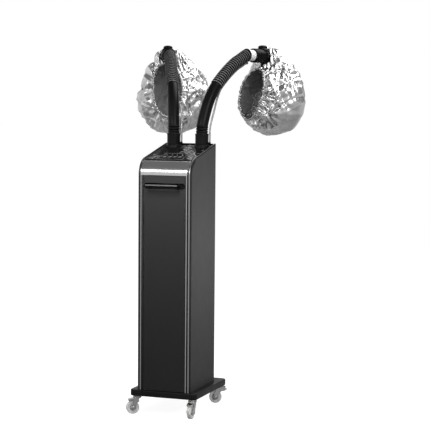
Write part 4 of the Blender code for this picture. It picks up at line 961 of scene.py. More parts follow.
# rows of points from the mouth's rim over the bag to the point opposite the mouth
def bagSurface(s, side, profile):
    angles = np.linspace(0, math.tau, s["around"], endpoint=False)
    hang = s["hang"][side]
    mouthWide, mouthTall = s["mouthHalf"][side]
    rimX = s["mouthShift"][side] + mouthWide * np.cos(angles)
    rimZ = s["mouthHeight"][side] + mouthTall * np.sin(angles)
    rimX += s["mouthLean"][side] * mouthTall * np.sin(angles)
    reach, halfWide, halfDeep, share = bagValues(profile, rimZ)
    inside = np.clip(1 - ((rimX - hang * share) / halfWide) ** 2, s["mouthLeast"], 1)
    rim = np.stack((rimX, reach - halfDeep * np.sqrt(inside), rimZ), axis=1)
    centre = np.array((hang, *s["middle"]))
    axis = rim.mean(axis=0) - centre
    axis /= np.linalg.norm(axis)
    spoke = rim - centre
    spoke /= np.linalg.norm(spoke, axis=1)[:, None]
    lean = spoke @ axis
    first = np.arccos(np.clip(lean, -1, 1))
    cross = spoke - lean[:, None] * axis
    cross /= np.linalg.norm(cross, axis=1)[:, None]
    steps = np.linspace(0, 1, s["along"]) ** s["crowding"]
    theta = first[None, :] + (math.pi - first[None, :]) * steps[:, None]
    ways = np.cos(theta)[..., None] * axis + np.sin(theta)[..., None] * cross[None]
    near = np.zeros(theta.shape)
    far = np.full(theta.shape, s["furthest"])
    for _ in range(s["halvings"]):
        half = (near + far) / 2
        point = centre + ways * half[..., None]
        reach, halfWide, halfDeep, share = bagValues(profile, point[..., 2])
        wide = ((point[..., 0] - hang * share) / np.maximum(halfWide, s["leastHalf"])) ** 2
        deep = ((point[..., 1] - reach) / np.maximum(halfDeep, s["leastHalf"])) ** 2
        inBag = (wide + deep < 1) & (point[..., 2] > s["bottom"]) & (point[..., 2] < s["top"])
        near = np.where(inBag, half, near)
        far = np.where(inBag, far, half)
    points = centre + ways * near[..., None]
    points[0] = rim
    return points, angles


def triangleWave(values):
    return 2 * np.abs(2 * np.mod(values, 1.0) - 1) - 1


# crumpling: sets of straight creases that cross, each strong in some places and weak in others
def crumple(points, s, seed):
    random = np.random.default_rng(int(seed * 10))
    verts = [Vector(p) for p in points]
    shift = Vector((seed, 0, 0))
    bent = points + s["bend"] * np.array([noise.noise_vector(p * s["bendScale"] + shift) for p in verts])
    total = np.zeros(len(points))
    for count, shortest, longest, slope, flat in s["sets"]:
        for number in range(count):
            way = random.normal(size=3)
            way /= np.linalg.norm(way)
            length = shortest * (longest / shortest) ** random.uniform()
            shift = Vector(random.uniform(-s["patchShift"], s["patchShift"], 3))
            patch = np.array([noise.noise(p * (s["patchScale"] / length) + shift) for p in verts])
            patch = np.clip(s["patchLevel"] + s["patchGain"] * patch, 0, 1)
            wave = np.maximum(triangleWave(bent @ way / length + random.uniform()), flat)
            total += (-1) ** number * patch * slope * length / 4 * (wave - max(flat, 0))
    return total


# pleats and broad folds from the mouth, a ruffle on its rim, and gathers round the neck
def foldHeight(s, seed, point, angle, fromRim, fromNeck):
    def wave(count, turn, shift):
        return abs(math.sin(count / 2 * turn + shift)) - s["level"]

    def roundMouth(scale, height):
        return noise.noise(Vector((scale * math.cos(angle), scale * math.sin(angle), height)))

    wander = s["wander"] * roundMouth(s["wanderScale"], seed)
    size = s["size"][0] + s["size"][1] * roundMouth(s["sizeScale"], s["sizeShift"] + seed)
    pleat = wave(s["pleats"], angle, s["pleatWander"] * wander)
    pleat *= size * s["pleatDepth"] * math.exp(-fromRim / s["pleatReach"])
    broad = wave(s["broad"], angle, s["broadWander"] * wander + s["broadLean"] * fromRim)
    broad *= s["broadDepth"] * math.exp(-((fromRim - s["broadFrom"]) / s["broadReach"]) ** 2)
    ruffle = wave(s["ruffles"], angle, wander)
    ruffle *= size * s["ruffleDepth"] * math.exp(-fromRim / s["ruffleReach"])
    turn = math.atan2(point.y - s["gatherCentre"], point.x)
    lean, rise = s["gatherSeed"]
    drift = noise.noise(point * s["gatherScale"] + Vector((seed, lean * seed, rise)))
    gather = wave(s["gathers"], turn, s["gatherWander"] * drift)
    gather *= s["gatherDepth"] * math.exp(-(fromNeck / s["gatherReach"]) ** 2)
    return pleat + broad + ruffle + gather


def clothNormals(verts, faces, middle):
    base = bpy.data.meshes.new("bagBase")
    base.from_pydata(verts, [], faces)
    normals = [v.normal.copy() for v in base.vertices]
    bpy.data.meshes.remove(base)
    facing = sum((n.dot(p - middle) for n, p in zip(normals, verts)), 0.0)
    return normals if facing > 0 else [-n for n in normals]


# moves each point along its normal, and gives its painted shade: darker where the cloth folds in and on the
# smooth lower side
def foldCloth(verts, normals, angles, middle, crumpled, seed):
    neck = Vector(bonnet["neck"])
    moved = []
    shades = []
    for index, point in enumerate(verts):
        step = index % len(angles)
        fromRim = (point - verts[step]).length
        fromNeck = (point - neck).length
        lean = (point - middle).normalized().dot(Vector(creases["plainWay"]))
        plain = clamp((lean - creases["plainFrom"]) / creases["plainRun"])
        nearNeck = clamp((fromNeck - creases["neckFrom"]) / creases["neckRun"])
        settle = min(1.0, fromRim / creases["rimRun"]) * nearNeck
        height = foldHeight(folds, seed, point, angles[step], fromRim, fromNeck)
        height += crumpled[index] * (1 - creases["plainCalm"] * plain) * settle
        moved.append(point + normals[index] * height)
        # painted shade: darker where the cloth folds in, darker on the smooth lower side
        shade = creases["shade"] + creases["foldShadeGain"] * height - creases["plainSideShade"] * plain
        shades.append(clamp(shade))
    return moved, shades


def dropLoose(shape):
    bmesh.ops.delete(shape, geom=[v for v in shape.verts if not v.link_faces], context="VERTS")


def makeBonnet(side, sign, s, profile):
    points, angles = bagSurface(s, side, profile)
    points = points.reshape(-1, 3)
    verts = [Vector(p) for p in points]
    faces = ringFaces(s["along"], s["around"], "open")
    middle = Vector((s["hang"][side], *s["middle"]))
    normals = clothNormals(verts, faces, middle)
    seed = s["seed"][side]
    moved, shades = foldCloth(verts, normals, angles, middle, crumple(points, creases, seed), seed)
    radius, end = s["neckHole"]
    blocked = [math.hypot(p.x, p.z) < radius and p.y < armEnd.y + end for p in moved]
    kept = [face for face in faces if not any(blocked[v] for v in face)]
    place = columnFrame(side, sign) @ Matrix.Translation((0, 0, armEnd.z))
    placed = [place @ p for p in moved]
    name = "bonnetFoil_" + side
    mesh = bpy.data.meshes.new(name)
    mesh.from_pydata(placed, [], kept)
    # the painted shade goes on the cloth as its crease attribute
    mesh.attributes.new("crease", "FLOAT", "POINT").data.foreach_set("value", shades)
    shape = bmesh.new()
    shape.from_mesh(mesh)
    dropLoose(shape)
    bmesh.ops.remove_doubles(shape, verts=shape.verts, dist=s["merge"])
    bmesh.ops.recalc_face_normals(shape, faces=shape.faces)
    inner = place @ middle
    outward = sum(f.normal.dot(f.calc_center_median() - inner) * f.calc_area() for f in shape.faces)
    if outward < 0:
        bmesh.ops.reverse_faces(shape, faces=shape.faces)
    area = sum(f.calc_area() for f in shape.faces)
    shape.to_mesh(mesh)
    shape.free()
    mesh.shade_smooth()
    looks = ("bonnetFoil", "liningGrey")
    piece = addPiece(name, mesh, "hood_" + side, looks, "bonnet_foil", "bonnet_" + side)
    wall = piece.modifiers.new("cloth", "SOLIDIFY")
    wall.thickness = s["thick"]
    wall.offset = -1
    wall.material_offset = 1
    wall.material_offset_rim = 0
    print("bonnet", side, "cloth area", round(area, 4))
    return piece, placed[:s["around"]]


def makeHem(side, s, rim):
    count = s["stations"]
    curve = smoothRoute([*rim[::s["every"]], rim[0]], s["steps"])[:-1]
    line = [curve[int(len(curve) * index / count)] for index in range(count)]
    radii = []
    for index, (wide, deep) in enumerate(circle(count)):
        drift = noise.noise(Vector((s["wanderScale"] * wide, s["wanderScale"] * deep, s["wanderSeed"])))
        ruffle = abs(math.sin(s["ruffles"] / 2 * math.tau * index / count + s["wander"] * drift))
        radii.append(s["radius"] + s["swell"] * ruffle)
    name = "bonnetHem_" + side
    mesh = sweepMesh(name, line, radii, s["around"], closed=True)
    return addPiece(name, mesh, "hood_" + side, "bonnetFoil", "bonnet_foil")


bagShape = bagProfile(bonnet)
for side, sign in sides:
    cloth, rim = makeBonnet(side, sign, bonnet, bagShape)
    edge = makeHem(side, hem, rim)
print("bonnets ready")

# shell lines shared by the trims, the front sheet and the top panel
shell = {"front": -0.142, "rear": 0.142, "half": 0.105, "inner": 0.0955, "topRear": 1.039,
         "slope": math.radians(12.3), "corner": 0.066, "foot": 0.0963, "fit": 0.0003}
fit = shell["fit"]
cornerY = shell["front"] + shell["corner"]
slopeTurn = math.pi / 2 - shell["slope"]


def slopeHeight(y, inset=0.0):
    slope = shell["slope"]
    return shell["topRear"] - (shell["rear"] - y) * math.tan(slope) - inset / math.cos(slope)


cornerZ = slopeHeight(cornerY, shell["corner"])


def cornerArc(inset, start, end, steps):
    radius = shell["corner"] - inset
    turns = [start + (end - start) * step / steps for step in range(steps + 1)]
    return [(cornerY - radius * math.cos(t), cornerZ + radius * math.sin(t)) for t in turns]


def rearEnd(inset):
    return (shell["rear"], slopeHeight(shell["rear"], inset))


def shellLine(inset, steps=40):
    return [(shell["front"] + inset, shell["foot"]), *cornerArc(inset, 0, slopeTurn, steps), rearEnd(inset)]


# edging strips round the side panels, each with a dark lip along the panel's front: a painted shadow line,
# also painted on the strip's outer face
edging = {"thick": 0.005, "edge": 0.0014, "lipDepth": 0.013, "lipProud": 0.0004, "lipEdge": 0.0002,
          "flush": 0.0001, "inner": {"left": 0.0995, "right": 0.0985},
          # the left strip takes the silver painted dark as painted shade
          "look": {"left": "edgingPaintedShade", "right": "edgingSilver"}}


def makeEdging(side, sign, s):
    name = "edgeTrim_" + side
    low, high = sorted((sign * s["inner"][side], sign * shell["half"]))
    mesh = stripMesh(name, shellLine(0.0), shellLine(s["thick"]), low, high)
    looks = (s["look"][side], "lipDark")
    trim = addPiece(name, mesh, "cabinet", looks, "edging_silver", "edge_trim_" + side)
    # the strip's outer face takes the painted shadow line
    for face in mesh.polygons:
        face.material_index = int(sign * face.center.x > shell["half"] - s["flush"])
    roundEdges(trim, s["edge"])
    name = "edgeLip_" + side
    low, high = sorted((sign * shell["half"], sign * (shell["half"] + s["lipProud"])))
    near = s["thick"] + fit
    mesh = stripMesh(name, shellLine(near)[:-1], shellLine(near + s["lipDepth"])[:-1], low, high)
    roundEdges(addPiece(name, mesh, "cabinet", "lipDark", "side_satin"), s["lipEdge"])


for side, sign in sides:
    makeEdging(side, sign, edging)
print("edging ready")

# silver front: one bent sheet, a strip down each side of the door and the band that bends over it
frontSheet = {"inset": 0.004, "thick": 0.0025, "left": (-0.0992, -0.0984, -0.0940),
              "right": (0.087, 0.0915, 0.0952), "ear": math.radians(20), "sweep": math.radians(58),
              "steps": (10, 20), "edge": 0.0006, "bead": 0.0011, "beadAround": 12, "beadSteps": 40,
              "beadIn": 0.002}
doorJamb = {"side": -0.0865, "in": 0.0012, "depth": 0.0025, "over": 0.002, "under": 0.0005, "corner": 0.0008,
            "edge": 0.0006}


def makeFrontSheet(s):
    columns = [*s["left"], *s["right"]]
    frontY = shell["front"] + s["inset"]
    lower = cornerArc(s["inset"], 0, s["ear"], s["steps"][0])
    upper = cornerArc(s["inset"], s["ear"], s["sweep"], s["steps"][1])
    rows = [(frontY, shell["foot"]), *lower, *upper[1:]]
    count = len(columns)
    faces = []
    for row in range(len(rows) - 1):
        filled = (1, 3) if row == 0 else (1, 2, 3) if row < len(lower) else (0, 1, 2, 3, 4)
        for column in filled:
            a, b = row * count + column, (row + 1) * count + column
            faces.append((a, a + 1, b + 1, b))
    mesh = bpy.data.meshes.new("frontSheet")
    mesh.from_pydata([(x, *p) for p in rows for x in columns], [], faces)
    shape = bmesh.new()
    shape.from_mesh(mesh)
    dropLoose(shape)
    if sum(f.normal.y for f in shape.faces) > 0:
        bmesh.ops.reverse_faces(shape, faces=shape.faces)
    shape.to_mesh(mesh)
    shape.free()
    mesh.shade_smooth()
    looks = ("bandSilver", "stripSilver")
    piece = addPiece("frontSheet", mesh, "cabinet", looks, "edging_silver", "front_frame")
    for polygon in mesh.polygons:
        polygon.material_index = int(polygon.center.z < cornerZ)
    sheet = piece.modifiers.new("sheet", "SOLIDIFY")
    sheet.thickness = s["thick"]
    sheet.offset = -1
    sheet.use_even_offset = True
    roundEdges(piece, s["edge"])
    left, right = columns[0] + s["beadIn"], columns[-1] - s["beadIn"]
    shares = [step / s["beadSteps"] for step in range(s["beadSteps"] + 1)]
    line = [(left + (right - left) * share, *rows[-1]) for share in shares]
    bead = sweepMesh("bandBead", line, [s["bead"]] * len(line), s["beadAround"])
    addPiece("bandBead", bead, "cabinet", "stripSilver", "edging_silver")
    makeDoorJamb(doorJamb, columns[2] + fit, frontY, lower[0][1])


def makeDoorJamb(s, left, frontY, top):
    near = frontY + s["in"]
    mesh = roundedBlock("doorJamb", (left, near, shell["foot"] + s["over"]),
                        (s["side"], near + s["depth"], top - s["under"]), s["corner"], s["edge"])
    addPiece("doorJamb", mesh, "cabinet", "doorSatin", "door_satin")


makeFrontSheet(frontSheet)
print("front sheet ready")

# top panel, smooth round its front bend, with holes for the hose necks and the buttons
topPanel = {"inset": 0.005, "thick": 0.004, "start": math.radians(58.26), "steps": 16, "holeRadius": 0.0228,
            "holeSpan": (0.95, 1.11), "holeAround": 64, "overlayFront": -0.092, "overlayLength": 0.087,
            "overlayHalf": (0.055, 0.043)}
button = {"count": 4, "pitch": 0.021, "half": (0.007, 0.005), "from": 0.030, "top": 0.0027, "foot": -0.0056,
          "corner": 0.0014, "edge": 0.0007, "holeDepth": 0.02, "holeCorner": 0.0012, "holeEdge": 0.0001,
          "lip": 0.0015, "lipDrop": 0.0002, "lipThick": 0.0013, "lipCorner": 0.0018, "lipEdge": 0.0003}
panelFront = (0, topPanel["overlayFront"], slopeHeight(topPanel["overlayFront"], topPanel["inset"]))
panelFrame = Matrix.Translation(panelFront) @ Matrix.Rotation(shell["slope"], 4, "X")
panelTurn = panelFrame.to_3x3()
panelUp = (panelTurn @ Vector((0, 0, 1))).normalized()
buttonXs = [(number - (button["count"] - 1) / 2) * button["pitch"] for number in range(button["count"])]


def buttonBlock(name, x, grow, low, high, corner, edge):
    halfX, halfY = (half + grow for half in button["half"])
    y = button["from"]
    near, far = (x - halfX, y - halfY, low), (x + halfX, y + halfY, high)
    return roundedBlock(name, near, far, corner, edge, panelFrame)


def makeTopPanel(s, b):
    lines = []
    for inset in (s["inset"], s["inset"] + s["thick"]):
        lines.append([*cornerArc(inset, s["start"], slopeTurn, s["steps"]), rearEnd(inset)])
    half = shell["inner"] - fit
    sheet = stripMesh("topPanel", *lines, -half, half)
    cutters = []
    for side, sign in sides:
        x, y, r = sign * hoseLine["cuffX"], hoseLine["cuffY"], s["holeRadius"]
        ring = [(x + r * wide, y + r * deep) for wide, deep in circle(s["holeAround"])]
        cutters.append(ringStack("hole_" + side, [[(*p, z) for p in ring] for z in s["holeSpan"]]))
    deep = b["holeDepth"]
    for x in buttonXs:
        cutters.append(buttonBlock("buttonHole", x, fit, -deep, deep, b["holeCorner"], b["holeEdge"]))
    mesh = carve("topPanel", sheet, *cutters)
    addPiece("topPanel", mesh, "cabinet", "panelGloss", "panel_gloss", "top_panel")


def makeButtons(b):
    low = b["foot"] - b["lipDrop"]
    for number, x in enumerate(buttonXs, 1):
        cap = buttonBlock("cap", x, 0.0, b["foot"], b["top"], b["corner"], b["edge"])
        lip = buttonBlock("lip", x, b["lip"], low, low + b["lipThick"], b["lipCorner"], b["lipEdge"])
        name, node = "pressButton_" + str(number), "button_" + str(number)
        addPiece(name, joinMeshes(name, cap, lip), node, "buttonGrey", "button_grey", node)


makeTopPanel(topPanel, button)
makeButtons(button)

# printed marks on the control area: a silver border, a light beside each button and a dash before it
marks = {"borderHalf": 0.00035, "borderSteps": 24, "borderAround": 8, "rise": 0.0013, "dotAt": 0.062,
         "dotProfile": ((0, 0), (0.0025, 0), (0.0025, 0.0003), (0.0015, 0.0006), (0, 0.0007)),
         "dotAround": 24, "dashAt": 0.041, "dashHalf": (0.0055, 0.002), "dashThick": 0.0004,
         "dashCorner": 0.0018, "dashEdge": 0.0001}


def makeMarks(s):
    (front, rear), length = topPanel["overlayHalf"], topPanel["overlayLength"]
    outline = ((-front, 0), (front, 0), (rear, length), (-rear, length))
    corners = [Vector((*p, s["rise"])) for p in outline]
    line = []
    for start, end in zip(corners, corners[1:] + corners[:1]):
        line += [panelFrame @ start.lerp(end, step / s["borderSteps"]) for step in range(s["borderSteps"])]
    border = sweepMesh("overlayBorder", line, [s["borderHalf"]] * len(line), s["borderAround"], closed=True)
    addPiece("overlayBorder", border, "cabinet", "printSilver", "edging_silver")
    dot = latheMesh("dotItem", s["dotProfile"], s["dotAround"], Matrix())
    x, y = s["dashHalf"]
    dash = roundedBlock("dashItem", (-x, -y, 0), (x, y, s["dashThick"]), s["dashCorner"], s["dashEdge"])
    for name, item, along in (("overlayDots", dot, s["dotAt"]), ("overlayDashes", dash, s["dashAt"])):
        places = [(panelFrame @ Vector((x, along, s["rise"])), panelUp, (1, 0, 0), 1.0) for x in buttonXs]
        scatterPiece(name, item, places, "cabinet", "printSilver", "button_grey")


makeMarks(marks)

# scroll ornament beside the control area: one plain leafy curl set many times, each turned and sized
scrolls = {
    # across, along the slope, size, turn
    "places": (
        (0.0755, 0.020, 1.45, 0.4), (0.0735, 0.046, 1.50, 3.6), (0.0700, 0.073, 1.60, 0.9),
        (0.0620, 0.101, 1.60, 4.0), (0.0850, 0.098, 0.75, 2.2), (0.0330, 0.104, 1.40, 1.7),
        (0.0380, 0.132, 1.40, 5.1), (0.0100, 0.120, 1.40, 3.0), (0.0120, 0.150, 1.70, 0.2),
        (0.0140, 0.184, 1.70, 4.4), (0.0080, 0.214, 1.50, 1.2), (0.0850, 0.146, 0.75, 0.5),
        (-0.0750, 0.019, 1.40, 2.4), (-0.0710, 0.044, 1.50, 5.6), (-0.0850, 0.066, 0.80, 1.0),
    ),
    "thick": 0.00025,
    "turns": 1.35, "start": 0.0012, "growth": 0.0062, "steps": 40, "width": (0.0004, 0.0008),
    "taper": (0.1, 0.85),
    "leaves": ((0.35, 0.0062), (0.75, 0.0072), (1.1, 0.0056)), "leafLean": 0.7, "leafSteps": 10,
    "leafWidth": (0.0003, 0.0016), "leafFullness": 0.8,
}


# a flat ribbon along a line, added to the points and faces so far
def addRibbon(verts, faces, line, widths, thick):
    first = len(verts)
    last = len(line) - 1
    for index, point in enumerate(line):
        ahead = (line[min(index + 1, last)] - line[max(index - 1, 0)]).normalized()
        across = Vector((-ahead.y, ahead.x)) * widths[index] / 2
        for height in (0.0, thick):
            verts += [(*(point + across), height), (*(point - across), height)]
    for a in range(first, first + last * 4, 4):
        b = a + 4
        faces += [(a, b, b + 1, a + 1), (a + 2, a + 3, b + 3, b + 2), (a, a + 2, b + 2, b),
                  (a + 1, b + 1, b + 3, a + 3)]
    end = first + last * 4
    faces += [(first, first + 1, first + 3, first + 2), (end, end + 2, end + 3, end + 1)]


def curlMesh(s, side):
    verts, faces = [], []

    def way(turn, lean=0.0):
        return Vector((math.cos(math.tau * turn + lean), side * math.sin(math.tau * turn + lean)))

    shares = [step / s["steps"] for step in range(s["steps"] + 1)]
    spiral = [way(s["turns"] * share) * (s["start"] + s["growth"] * share) for share in shares]
    thin, swell = s["width"]
    begin, run = s["taper"]
    widths = [thin + swell * math.sin(math.pi * (begin + run * share)) for share in shares]
    addRibbon(verts, faces, spiral, widths, s["thick"])
    shares = [step / s["leafSteps"] for step in range(s["leafSteps"] + 1)]
    thin, swell = s["leafWidth"]
    widths = [thin + swell * math.sin(math.pi * share) ** s["leafFullness"] for share in shares]
    for turn, reach in s["leaves"]:
        start = way(turn) * (s["start"] + s["growth"] * turn / s["turns"])
        leaf = [start + way(turn, s["leafLean"]) * reach * share for share in shares]
        addRibbon(verts, faces, leaf, widths, s["thick"])
    return meshFrom("curlItem", verts, faces)


def makeScrolls(s):
    places = []
    for x, along, size, turn in s["places"]:
        heading = panelTurn @ Vector((math.cos(turn), math.sin(turn), 0))
        places.append((panelFrame @ Vector((x, along, 0.0)), panelUp, heading, size))
    for name, first, side in (("scrollsPlain", 0, 1), ("scrollsTurned", 1, -1)):
        scatterPiece(name, curlMesh(s, side), places[first::2], "cabinet", "printSilver", "edging_silver")


makeScrolls(scrolls)
print("top ready")

# rear lip of the top panel, level with the edging
rearLip = {"front": 0.1380, "top": 1.0381, "half": 0.0948, "corner": 0.0015, "edge": 0.001}
lipLow = slopeHeight(rearLip["front"], topPanel["inset"]) + fit
lipMesh = roundedBlock("rearLip", (-rearLip["half"], rearLip["front"], lipLow),
                       (rearLip["half"], shell["rear"], rearLip["top"]), rearLip["corner"], rearLip["edge"])
addPiece("rearLip", lipMesh, "cabinet", "panelGloss", "panel_gloss")

# door handle: a round bar on two posts before a dark cup
handle = {"middle": (0.0, -0.138, cornerZ - 0.0405), "around": 32, "barHalf": 0.0650, "barOut": 0.0290,
          "barSize": (0.0040, 0.0052), "barLean": 0.9, "barShift": -0.003, "barRise": 0.002,
          "barEnd": 0.0045, "barTip": 0.12, "barSteps": 7, "darkBehind": 1.2,
          "paintedShadeUnder": 0.0005, "postRadius": 0.0035, "postIn": 0.007, "postFoot": 1.5,
          "postRise": (0.0012, 0.0024), "cupHalf": (0.083, 0.011), "cupDepth": 0.007, "cupWall": 0.0015,
          "cupEdge": (0.0004, 0.0003, 0.0005), "cupCorner": 0.001, "cupSteps": 12}


def makeBar(s, place):
    depth, height = s["barSize"]
    turns = np.linspace(s["barTip"], math.pi / 2, s["barSteps"])
    stations = [(-s["barHalf"] + s["barEnd"] * (1 - math.cos(t)), math.sin(t)) for t in turns]
    stations += [(-x, share) for x, share in reversed(stations)]
    rings = []
    for x, share in stations:
        ring = []
        for wide, deep in circle(s["around"]):
            high = height * share * deep
            back = depth * share * wide + s["barLean"] * max(0.0, -high)
            ring.append(place @ Vector((x + s["barShift"], back - s["barOut"], high + s["barRise"])))
        rings.append(ring)
    return ringStack("bar", rings)


def makeHandle(s):
    place = Matrix.Translation(s["middle"])
    parts = [makeBar(s, place)]
    r, low, (step, rise) = s["postRadius"], s["cupWall"] + fit - s["cupDepth"], s["postRise"]
    foot = r * s["postFoot"]
    profile = [(0, low), (foot, low), (foot, low + step), (r, low + rise), (r, s["barOut"]), (0, s["barOut"])]
    for side, sign in sides:
        across = sign * (s["barHalf"] - s["postIn"]) + s["barShift"]
        at = place @ Matrix.Translation((across, 0, 0)) @ Matrix.Rotation(math.pi / 2, 4, "X")
        parts.append(latheMesh("post", profile, s["around"], at))
    mesh = joinMeshes("handleBar", *parts)
    addPiece("handleBar", mesh, "door", ("handleGrey", "cupBlack"), "handle_grey", "handle_bar")
    behind = s["middle"][1] + s["barSize"][0] * s["darkBehind"] - s["barOut"]
    under = s["middle"][2] + s["barRise"] - s["paintedShadeUnder"]
    # the bar's lower half takes cupBlack as painted shade, and the posts take it too
    for face in mesh.polygons:
        face.material_index = int(face.center.y > behind or face.center.z < under)
    depth, wall, (edge, rim, inner) = s["cupDepth"], s["cupWall"], s["cupEdge"]
    rows = [(0.0, depth), (0.0, rim), (edge, 0.0), (wall - edge, 0.0), (wall, inner),
            (wall, depth - 2 * wall), (2 * wall, depth - wall)]
    rings = []
    for inset, back in rows:
        halfX, halfZ = (half - inset for half in s["cupHalf"])
        outline = roundedOutline((-halfX, -halfZ), (halfX, halfZ), halfZ - s["cupCorner"], s["cupSteps"])
        rings.append([place @ Vector((x, back, z)) for x, z in outline])
    addPiece("handleCup", ringStack("handleCup", rings), "door", "cupBlack", "moulded_black", "handle_cup")


makeHandle(handle)
print("handle ready")

# hose fittings, turned in fine steps: socket, cuff, end ring, collar, end cylinder, cap, strap and knob
fitting = {
    "around": 72, "bore": 0.019, "neck": 0.0225, "rest": 0.05,
    "flange": (0.0292, 0.0272), "flangeEdge": 0.0012, "flangeRound": 0.001, "flangeReach": 0.030,
    "flangeProud": 0.001, "socketSharp": 30,
    "cuff": 0.026, "cuffEdge": 0.0008, "rim": 0.0268, "rimHeight": 0.006, "rimStep": 0.0006,
    "rimEdge": 0.0010,
    "lug": (0.0242, 0.037, 0.005), "lugCorner": 0.0042, "lugEdge": 0.0008,
    "endRing": 0.0268, "endRingLength": 0.0125, "endRingEdge": 0.0012,
    "whiteLip": 0.0070, "whiteLipEdge": 0.0010, "whiteLipBack": 0.0002, "whiteLipIn": 0.0004,
    "collar": 0.0225, "collarBore": 0.014, "collarAhead": 0.036, "collarBehind": 0.005, "boreSides": 8,
    # how far in from the collar's radius, and how far along
    "collarForm": ((0.0008, 0.0003), (0, 0.0011), (0, 0.0100), (0.0005, 0.0106), (0.0005, 0.0122),
                   (0, 0.0128)),
    "drainEnd": ((0.0038, -0.010), (0.0053, -0.009), (0.0053, -0.002), (0.0047, -0.001), (0.0047, 0.004),
                 (0.0038, 0.005)),
    "drainEndAround": 28, "drainEndBack": 0.004,
}
hood = {
    "cylinder": 0.0285, "start": 0.026, "end": 0.104, "wall": 0.003, "port": 0.010, "endEdge": 0.0004,
    # how far in from the cylinder's radius, and how far along from its start
    "startForm": ((0.0022, 0), (0.0008, 0.0007), (0, 0.0022)),
    "capLength": 0.003, "capPlug": 0.006, "capForm": ((0.0003, 0.0014), (0.0012, 0.0004), (0.0026, 0)),
    "portEdge": (0.002, 0.001),
    "strapHalf": 0.005, "strapThick": 0.002, "strapEdge": (0.0005, 0.0006), "strapTail": 0.018,
    "tailCorner": 0.0009, "tailEdge": 0.0008,
    "knobAt": 0.0875, "knob": 0.0185, "knobHeight": 0.0115, "knobWall": 0.40, "knobEdge": 0.001,
    "knobAround": 56, "domeSteps": 12, "saddle": (0.0262, 0.0170), "saddleDepth": 0.008, "saddleIn": 0.002,
    "grips": 28, "gripLow": (-0.0005, -0.0007), "gripHigh": (0.0006, 0.0007), "gripHeight": 0.36,
    "gripCorner": 0.0004, "gripEdge": 0.0003, "gripSink": 0.0002, "gripRise": 0.0009,
}
moulded = ("mouldedBlack", "moulded_black")
panelTop = slopeHeight(hoseLine["cuffY"], topPanel["inset"])
flangeBack = hoseLine["cuffY"] + fitting["flangeReach"]
socketTop = slopeHeight(flangeBack, topPanel["inset"]) + fitting["flangeProud"]
alongArm = Matrix.Rotation(-math.pi / 2, 4, "X")


def makeSocket(side, sign, s):
    x, y = sign * hoseLine["cuffX"], hoseLine["cuffY"]
    low = panelTop - s["rest"]
    high = hoseLine["cuffTop"] - hoseLine["inCuff"] - fit
    bore, neck, edge, (wide, narrow) = s["bore"], s["neck"], s["flangeEdge"], s["flange"]
    # radius, height or None to follow the sloping panel, and a lift over that
    rows = ((bore, low, 0), (neck, low, 0), (neck, None, 0), (wide, None, 0), (wide, None, edge),
            (narrow, socketTop - edge, 0), (narrow - s["flangeRound"], socketTop, 0), (neck, socketTop, 0),
            (neck, high, 0), (bore, high, 0))
    rings = []
    for radius, height, lift in rows:
        ring = []
        for across, deep in circle(s["around"]):
            back = y + radius * deep
            slopeTop = slopeHeight(back, topPanel["inset"]) + fit + lift
            ring.append((x + radius * across, back, slopeTop if height is None else height))
        rings.append(ring)
    name = "hoseSocket_" + side
    mesh = ringStack(name, rings, s["socketSharp"], "joined")
    addPiece(name, mesh, "cabinet", *moulded, "hose_socket_" + side)


def makeCuff(side, sign, s):
    place = columnFrame(side, sign)
    low = socketTop + fit - hoseLine["cuffTop"]
    inner, cuff, rim, height, edge = s["neck"] + fit, s["cuff"], s["rim"], s["rimHeight"], s["cuffEdge"]
    profile = [(inner, low), (cuff - edge, low), (cuff, low + edge), (cuff, -height),
               (rim, s["rimStep"] - height), (rim, -s["rimEdge"]), (rim - s["rimEdge"], 0.0), (inner, 0.0)]
    ring = latheMesh("cuffRing", profile, s["around"], place)
    turn = Matrix.Rotation(sign * hoseLine["splay"][side], 4, "Z")
    near, far, half = s["lug"]
    foot = -drainTube["lugDrop"]
    lug = roundedBlock("cuffLug", (near, -half, foot), (far, half, foot + drainTube["lugHeight"]),
                       s["lugCorner"], s["lugEdge"], place @ turn)
    name = "hoseCuff_" + side
    mesh = joinMeshes(name, ring, lug)
    addPiece(name, mesh, "hose_" + side, *moulded, "hose_cuff_" + side)


def addTurned(name, profile, place, body, look, slotName, *nodes, around=fitting["around"]):
    addPiece(name, latheMesh(name, profile, around, place), body, look, slotName, *nodes)


def makeArmFittings(side, sign, s):
    place = armFrame(side, sign) @ alongArm
    arm, neck = "arm_" + side, s["neck"]
    outer, length, lip, edge = s["endRing"], s["endRingLength"], s["whiteLip"], s["endRingEdge"]
    profile = [(neck, -length), (outer - edge, -length), (outer, edge - length), (outer, -lip - edge),
               (outer - edge, -lip), (neck, -lip)]
    addTurned("hoseEndRing_" + side, profile, place, arm, "hoseBlack", "hose_black")
    brim, edge, back = outer - edge, s["whiteLipEdge"], -s["whiteLipBack"]
    profile = [(neck, fit - lip), (brim - s["whiteLipIn"], fit - lip), (brim, edge - lip),
               (brim, back - edge), (brim - edge, back), (neck, back)]
    addTurned("collarLip_" + side, profile, place, arm, "collarWhite", "collar_white")
    plug = s["bore"] * math.cos(math.pi / s["boreSides"]) - fit
    bore, ahead, behind = s["collarBore"], s["collarAhead"], -s["collarBehind"]
    form = [(s["collar"] - inset, along) for inset, along in s["collarForm"]]
    profile = [(bore, behind), (plug, behind), (plug, fit), *form, (s["collar"], ahead), (bore, ahead)]
    addTurned("hoseCollar_" + side, profile, place, arm, "collarWhite", "collar_white", "hose_collar_" + side)
    back = -drainTube["endGap"] - s["drainEndBack"]
    at = armFrame(side, sign) @ Matrix.Translation((0, back, -tubeReach - drainTube["tipDrop"])) @ alongArm
    addTurned("drainEnd_" + side, s["drainEnd"], at, arm, "clipGrey", "tube_grey", around=s["drainEndAround"])


